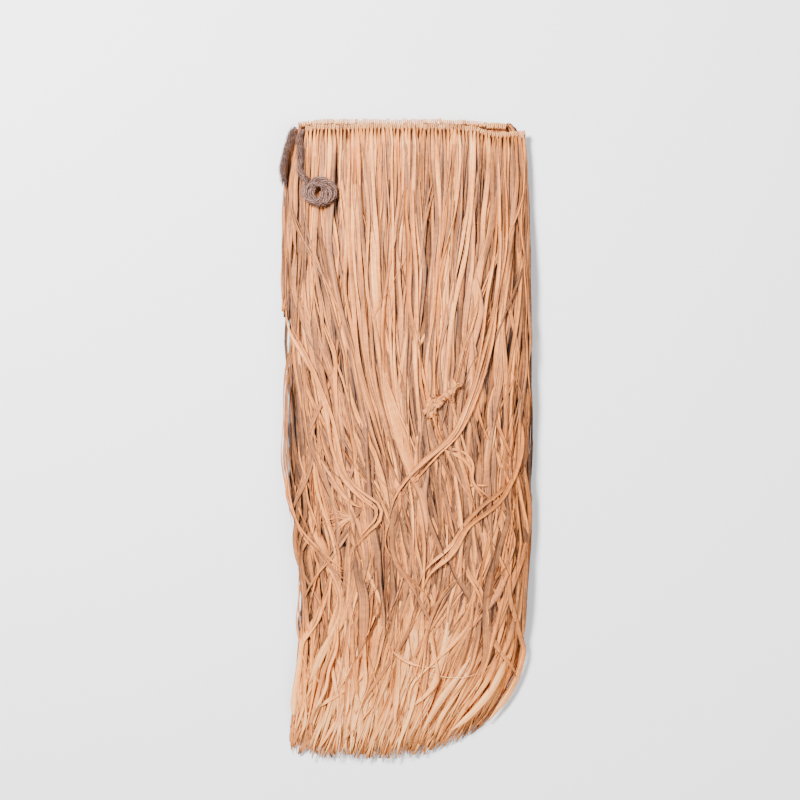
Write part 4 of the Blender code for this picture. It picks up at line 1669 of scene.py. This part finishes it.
@dataclass
class Heading:
    """A row of lark's-head knots: raffia looped over the waist cord."""

    name: str
    node: str
    line: tuple[Bend, ...]
    finish: bpy.types.Material
    knots: int
    seed: int
    cord_radius: float = 0.0018
    strap: float = 0.0012
    strap_width: float = 0.0019
    apart: float = 0.56
    lengthen: float = 1.25
    collar_lies: float = -0.0019
    collar_half: float = 0.0009
    lift: float = 0.0008
    usual_pitch: float = 0.0044

    def strap_over(self, side: int) -> bpy.types.Object:
        """Models one strap that goes round the cord.

        Args:
            side: Which of the knot's two straps, -1 or 1.

        Returns:
            The strap, drawn out a little below the cord.
        """
        place = (side * self.strap_width * self.apart, 0, 0)
        bpy.ops.mesh.primitive_torus_add(
            major_segments=12,
            minor_segments=6,
            major_radius=self.cord_radius + self.strap / 2,
            minor_radius=self.strap / 2,
            location=place,
            rotation=(0, math.pi / 2, 0),
        )
        strap = bpy.context.active_object
        bpy.ops.object.transform_apply(location=True, rotation=True, scale=True)
        bpy.ops.object.mode_set(mode="EDIT")
        bpy.ops.mesh.select_all(action="SELECT")
        bpy.ops.transform.resize(value=(self.strap_width / self.strap, 1, 1), center_override=place)
        bpy.ops.object.mode_set(mode="OBJECT")
        for vertex in strap.data.vertices:
            if vertex.co.y < -0.0002:
                vertex.co.y = vertex.co.y * self.lengthen
        return strap

    def knot(self) -> bpy.types.Mesh:
        """Models one knot: two straps over the cord, and the collar that crosses them.

        Returns:
            The knot's mesh, at the origin with the cord along X.
        """
        deselect()
        straps = [self.strap_over(side) for side in (-1, 1)]
        bpy.ops.mesh.primitive_uv_sphere_add(
            segments=8,
            ring_count=4,
            radius=1,
            location=(0, self.collar_lies, self.cord_radius * 0.95),
            scale=(self.strap_width * 1.05, self.collar_half, self.collar_half),
        )
        collar = bpy.context.active_object
        bpy.ops.object.transform_apply(location=True, rotation=True, scale=True)
        for obj in straps + [collar]:
            obj.select_set(True)
        bpy.context.view_layer.objects.active = collar
        bpy.ops.object.join()
        mesh = collar.data.copy()
        bpy.data.objects.remove(collar)
        return mesh

    def build(self) -> list[bpy.types.Object]:
        """Sets a knot at each lock along the heading.

        Returns:
            The row of knots.
        """
        chance = np.random.default_rng(self.seed)
        start, end = self.line[0].x, self.line[-1].x
        knot = self.knot()
        pitch = (end - start) / self.knots
        work = bmesh.new()
        tone_at = work.verts.layers.float.new("tone")
        strand_at = work.verts.layers.float.new("strand")
        for number in range(self.knots):
            x = start + pitch * (number + 0.5)
            before = len(work.verts)
            work.from_mesh(knot)
            work.verts.ensure_lookup_table()
            slope = float(read_line(self.line, x + 0.001) - read_line(self.line, x - 0.001)) / 0.002
            lean = -math.atan(slope) + chance.normal(0, 0.14)
            size = np.array([pitch / self.usual_pitch, 0.98, 1.0]) * chance.uniform(0.88, 1.10, 3)
            tone, strand = 0.56 + chance.normal(0, 0.12), chance.random()
            y = WAIST_Y - float(read_line(self.line, x)) + self.lift + chance.normal(0, 0.0005)
            z = float(read_line(self.line, x, "rise"))
            for vertex in work.verts[before:]:
                along, across = vertex.co.x * size[0], vertex.co.y * size[1]
                vertex.co.x = x + along * math.cos(lean) - across * math.sin(lean)
                vertex.co.y = y + along * math.sin(lean) + across * math.cos(lean)
                vertex.co.z = z + vertex.co.z * size[2]
                vertex[tone_at] = tone
                vertex[strand_at] = strand
        mesh = bpy.data.meshes.new(self.name)
        work.to_mesh(mesh)
        work.free()
        points = np.empty(len(mesh.vertices) * 3)
        mesh.vertices.foreach_get("co", points)
        for layer in list(mesh.uv_layers):
            mesh.uv_layers.remove(layer)
        set_uvs(mesh, points.reshape(-1, 3)[:, :2])
        mesh.polygons.foreach_set("use_smooth", np.ones(len(mesh.polygons), bool))
        mesh.materials.clear()
        return [dress(mesh, self.finish, "raffia_heading", self.node)]


@dataclass(frozen=True)
class Twist:
    """How a plied cord is twisted."""

    plies: int = 4
    lay: float = 0.034
    sides: int = 24

    def mesh(self, name: str, path: np.ndarray, radius: float) -> bpy.types.Mesh:
        """Models the cord along a path.

        Args:
            name: The mesh's name.
            path: Points along its centre line, close together.
            radius: The cord's radius.

        Returns:
            Its mesh, closed at both ends.
        """
        ahead = unit(np.gradient(path, axis=0))
        side = unit(np.cross(ahead, UPWARD))
        up = np.cross(side, ahead)
        angle = 2 * math.pi * np.arange(self.sides) / self.sides
        spin = 2 * math.pi * run_along(path) / self.lay
        yarn = np.abs(np.cos(self.plies * (angle[None, :] - spin[:, None]) / 2))
        size = radius * (0.54 + 0.50 * yarn)
        ends = np.minimum(np.arange(len(path)), np.arange(len(path))[::-1])
        size = size * np.clip(0.55 + 0.225 * ends, 0, 1)[:, None]
        out = np.cos(angle)[None, :, None] * side[:, None] + np.sin(angle)[None, :, None] * up[:, None]
        mesh = ringed_mesh(name, path[:, None] + size[..., None] * out)
        # The yarn value, low in the grooves between yarns, is kept for the painted shade in those grooves.
        set_values(mesh, "yarn", yarn.ravel())
        close_ends(mesh)
        return mesh


@dataclass(frozen=True)
class Round:
    """How the hank's loops change as they are wound: their size, plumpness and height."""

    turned: float
    span: float
    plump: float
    rise: float


@dataclass(frozen=True)
class Hank:
    """The gathered end of the long tie: an oval coil whose middle wanders a little."""

    centre: Point = Point(-0.0922, 0.0772)
    reach: tuple[float, float] = (0.0160, 0.0138)
    tilt: float = math.radians(-14)
    start: float = math.radians(158)
    turns: float = 4.6
    points_a_turn: int = 16
    wander: tuple[float, float] = (0.0052, 0.0031)
    wander_start: float = math.radians(270)
    wander_rate: float = 0.16
    rounds: tuple[Round, ...] = (
        Round(0.0, 1.00, 1.00, 0.0),
        Round(0.6, 0.98, 1.00, 0.0),
        Round(1.2, 0.84, 1.04, 0.0018),
        Round(1.8, 0.74, 1.08, 0.0030),
        Round(2.4, 0.62, 1.14, 0.0038),
        Round(3.0, 0.62, 1.16, 0.0044),
        Round(3.6, 0.62, 1.16, 0.0050),
        Round(4.2, 0.62, 1.16, 0.0056),
        Round(4.6, 0.62, 1.16, 0.0056),
    )

    def read(self, column: str, turned: float) -> float:
        """One of the rounds' values, after so many turns."""
        values = [getattr(entry, column) for entry in self.rounds]
        return float(np.interp(turned, [entry.turned for entry in self.rounds], values))

    def place(self, turned: float) -> tuple[float, float]:
        """Finds where the coil is after so many turns.

        Args:
            turned: How many turns.

        Returns:
            The place across the skirt, and the distance below the waist.
        """
        angle = self.start + 2 * math.pi * turned
        wide = self.reach[0] * self.read("span", turned)
        tall = self.reach[1] * wide / self.reach[0] * self.read("plump", turned)
        cos, sin = math.cos(self.tilt), math.sin(self.tilt)
        x = self.centre.x + wide * math.cos(angle) * cos - tall * math.sin(angle) * sin
        aside = wide * math.cos(angle) * sin + tall * math.sin(angle) * cos
        amount = min(1.0, max(0.0, (turned - 0.4) / 1.1))
        toward = self.wander_start + 2 * math.pi * self.wander_rate * turned
        x += amount * self.wander[0] * math.cos(toward)
        return x, self.centre.below - aside + amount * self.wander[1] * math.sin(toward)


@dataclass(frozen=True)
class Hair:
    """Loose fibres that stand out of a cord, and the frayed ones at its end."""

    length: float = 0.0042
    bushy: int = 90
    frayed: int = 170
    width: float = 0.00026
    thick: float = 0.00012
    stations: int = 4

    def lay(self, path: np.ndarray, radius: float, count: int, chance: np.random.Generator) -> Ribbons:
        """Lays the fibres.

        Args:
            path: The cord's centre line.
            radius: The cord's radius.
            count: How many fibres stand out along it.
            chance: The seeded random numbers.

        Returns:
            The fibres.
        """
        along = chance.integers(2, len(path) - 2, count)
        near = chance.integers(6, min(self.bushy, len(path) - 2), 10 * self.bushy)
        at = np.concatenate([near, along, chance.integers(len(path) - 6, len(path) - 1, self.frayed)])
        count = len(at)
        ahead = unit(np.gradient(path, axis=0))[at]
        angle = chance.uniform(0, 2 * math.pi, count)
        side = unit(np.cross(ahead, UPWARD))
        out = np.cos(angle)[:, None] * side + np.sin(angle)[:, None] * np.cross(side, ahead)
        root = path[at] + out * radius * 0.7
        length = self.length * chance.uniform(0.4, 1.3, count)[:, None]
        length[:len(near)] *= 1.35
        slant = ahead * chance.choice([-1.0, 1.0], count)[:, None]
        slant[-self.frayed:] = ahead[-self.frayed:] * 1.5
        out = out * np.where(np.arange(count) < count - self.frayed, 1.0, 0.55)[:, None]
        shares = np.linspace(0, 1, self.stations)
        lines = np.stack([
            root + length * (out * (0.75 * s - 0.25 * s * s) + slant * (0.5 * s + 0.6 * s * s))
            for s in shares
        ], axis=1)
        lines[..., 2] = np.maximum(lines[..., 2], 0.0008)
        facing = np.repeat(unit(np.cross(out, ahead) + 0.01)[:, None], self.stations, axis=1)
        widths = self.width * (1 - 0.6 * shares)[None, :] * np.ones((count, 1))
        flat = np.zeros((count, self.stations))
        return Ribbons(lines, facing, widths, flat, np.zeros(count), np.ones(count), self.thick)


@dataclass
class WaistTies:
    """The jute waist cord's two free ends, one gathered in a loose hank."""

    mound: Mound
    finish: bpy.types.Material
    radius: float = 0.0020
    over: float = 0.0091
    short_rise: float = 0.0135
    short_route: tuple[Point, ...] = (
        Point(-0.1170, 0.0080),
        Point(-0.1206, 0.0132),
        Point(-0.1250, 0.0260),
        Point(-0.1285, 0.0390),
        Point(-0.1310, 0.0520),
        Point(-0.1300, 0.0640),
    )
    long_route: tuple[Point, ...] = (
        Point(-0.1091, 0.0108),
        Point(-0.1130, 0.0190),
        Point(-0.1126, 0.0305),
        Point(-0.1122, 0.0440),
        Point(-0.1118, 0.0560),
    )
    hank: Hank = Hank()
    hair: Hair = Hair()
    twist: Twist = Twist()

    def short_path(self) -> np.ndarray:
        """Follows the end that falls down the left edge.

        Returns:
            Points along its centre line.
        """
        route = np.array([[p.x, WAIST_Y - p.below, 0] for p in self.short_route])
        share = np.linspace(0, 1, len(route))
        start = BACK_LINE[0].rise
        route[:, 2] = start + (self.short_rise - start) * np.clip(3 * share, 0, 1)
        return resample(route)

    def long_path(self) -> np.ndarray:
        """Follows the other end, down to its hank and round it.

        Returns:
            Points along its centre line.
        """
        places = []
        last = len(self.long_route) - 1
        start = FRONT_LINE[0].rise
        for i, p in enumerate(self.long_route):
            high = float(self.mound.surface(p.x, p.below)) + self.over
            places.append([p.x, WAIST_Y - p.below, start + (high - start) * min(1, 3 * i / last)])
        steps = int(self.hank.turns * self.hank.points_a_turn)
        for i in range(steps):
            turned = self.hank.turns * i / (steps - 1)
            x, below = self.hank.place(turned)
            z = float(self.mound.surface(x, below)) + self.over + self.hank.read("rise", turned)
            places.append([x, WAIST_Y - below, z])
        return resample(np.array(places))

    def hairs(self, name: str, path: np.ndarray, count: int, seed: int) -> bpy.types.Object:
        """Makes a cord's loose fibres and its frayed ones.

        Args:
            name: The piece's name.
            path: The cord's centre line.
            count: How many fibres stand out along it.
            seed: Where the random numbers start.

        Returns:
            One piece with all the fibres.
        """
        chance = np.random.default_rng(seed)
        batch = self.hair.lay(path, self.radius, count, chance)
        mesh = ribbon_mesh(name, batch)
        yarn = chance.uniform(0.0, 1.0, len(batch.lines)) ** 0.8
        set_values(mesh, "yarn", np.repeat(yarn, self.hair.stations * CORNERS))
        return dress(mesh, self.finish, "jute")

    def build(self) -> list[bpy.types.Object]:
        """Builds both ends of the cord and their hair.

        Returns:
            The pieces.
        """
        pieces = []
        ends = (
            ("waist_tie_short", self.short_path(), ("tie_short",), 900, 71),
            ("waist_tie_long", self.long_path(), ("tie_long", "tie_hank"), 1700, 72),
        )
        for name, path, nodes, count, seed in ends:
            cord = dress(self.twist.mesh(name, path, self.radius), self.finish, "jute", *nodes)
            hair = self.hairs(name + "_hair", path, count, seed)
            pieces += [cord, hair]
        return pieces


@dataclass(frozen=True)
class Lamp:
    """A soft square light."""

    name: str
    place: tuple[float, float, float]
    size: float
    power: float

    def hang(self) -> None:
        """Hangs the light so that it points at the skirt."""
        data = bpy.data.lights.new(self.name, "AREA")
        data.shape = "SQUARE"
        data.size = self.size
        data.energy = self.power
        lamp = bpy.data.objects.new(self.name, data)
        lamp.location = self.place
        x, y, z = (-value for value in self.place)
        lamp.rotation_euler = (math.atan2(math.hypot(x, y), -z), 0, math.atan2(y, x) - math.pi / 2)
        bpy.context.scene.collection.objects.link(lamp)


@dataclass(frozen=True)
class Studio:
    """A pale table, soft light and a camera straight above."""

    view_width: float = 0.840
    height: float = 2.2
    focus_height: float = 0.020
    centre: tuple[float, float] = (-0.00735, 0.0404)
    sensor: float = 36.0
    table_size: float = 12
    table_colour: tuple[float, float, float, float] = (0.92, 0.92, 0.93, 1)
    table_roughness: float = 0.8
    sky: float = 0.34
    lamps: tuple[Lamp, ...] = (
        Lamp("key", (-1.0, 1.15, 1.8), 0.6, 208.0),
        Lamp("fill", (1.5, -0.7, 1.9), 1.8, 52.0),
    )

    def camera(self) -> None:
        """Sets the camera over the skirt."""
        data = bpy.data.cameras.new("camera")
        data.sensor_width = self.sensor
        data.lens = self.sensor * (self.height - self.focus_height) / self.view_width
        camera = bpy.data.objects.new("camera", data)
        camera.location = (*self.centre, self.height)
        bpy.context.scene.collection.objects.link(camera)
        bpy.context.scene.camera = camera

    def table(self) -> None:
        """Lays the table top under the skirt."""
        deselect()
        bpy.ops.mesh.primitive_plane_add(size=self.table_size)
        table = bpy.context.active_object
        table.name = "table"
        made = bpy.data.materials.new("table")
        made.use_nodes = True
        surface = made.node_tree.nodes["Principled BSDF"]
        surface.inputs["Base Color"].default_value = self.table_colour
        surface.inputs["Roughness"].default_value = self.table_roughness
        table.data.materials.append(made)

    def build(self) -> None:
        """Sets up the whole studio."""
        self.camera()
        self.table()
        for lamp in self.lamps:
            lamp.hang()
        world = bpy.data.worlds.new("studio")
        world.use_nodes = True
        back = world.node_tree.nodes["Background"]
        back.inputs["Color"].default_value = (1.0, 1.0, 1.0, 1)
        back.inputs["Strength"].default_value = self.sky
        bpy.context.scene.world = world


def main() -> None:
    """Builds the skirt's pieces in order and sets up the studio."""
    logging.basicConfig(level=logging.INFO, format="%(name)s %(message)s")
    mound = Mound()
    Studio().build()
    leaf, hair = fibre_group(), hair_group()
    raffia = RAFFIA.material(leaf)
    shaded = SHADED_RAFFIA.material(leaf)
    pale = PALE_RAFFIA.material(leaf)
    jute = JUTE.material(hair)
    WaistTies(mound, jute).build()
    LowerLayers(mound, shaded).build()
    HemLocks(mound, shaded).build()
    LeftLocks(mound, raffia).build()
    FrontLocks(mound, raffia).build()
    Heading("back_knots", "heading_back", BACK_LINE, pale, 52, 61).build()
    Heading("front_knots", "heading_front", FRONT_LINE, pale, 58, 62).build()


if __name__ == "__main__":
    main()
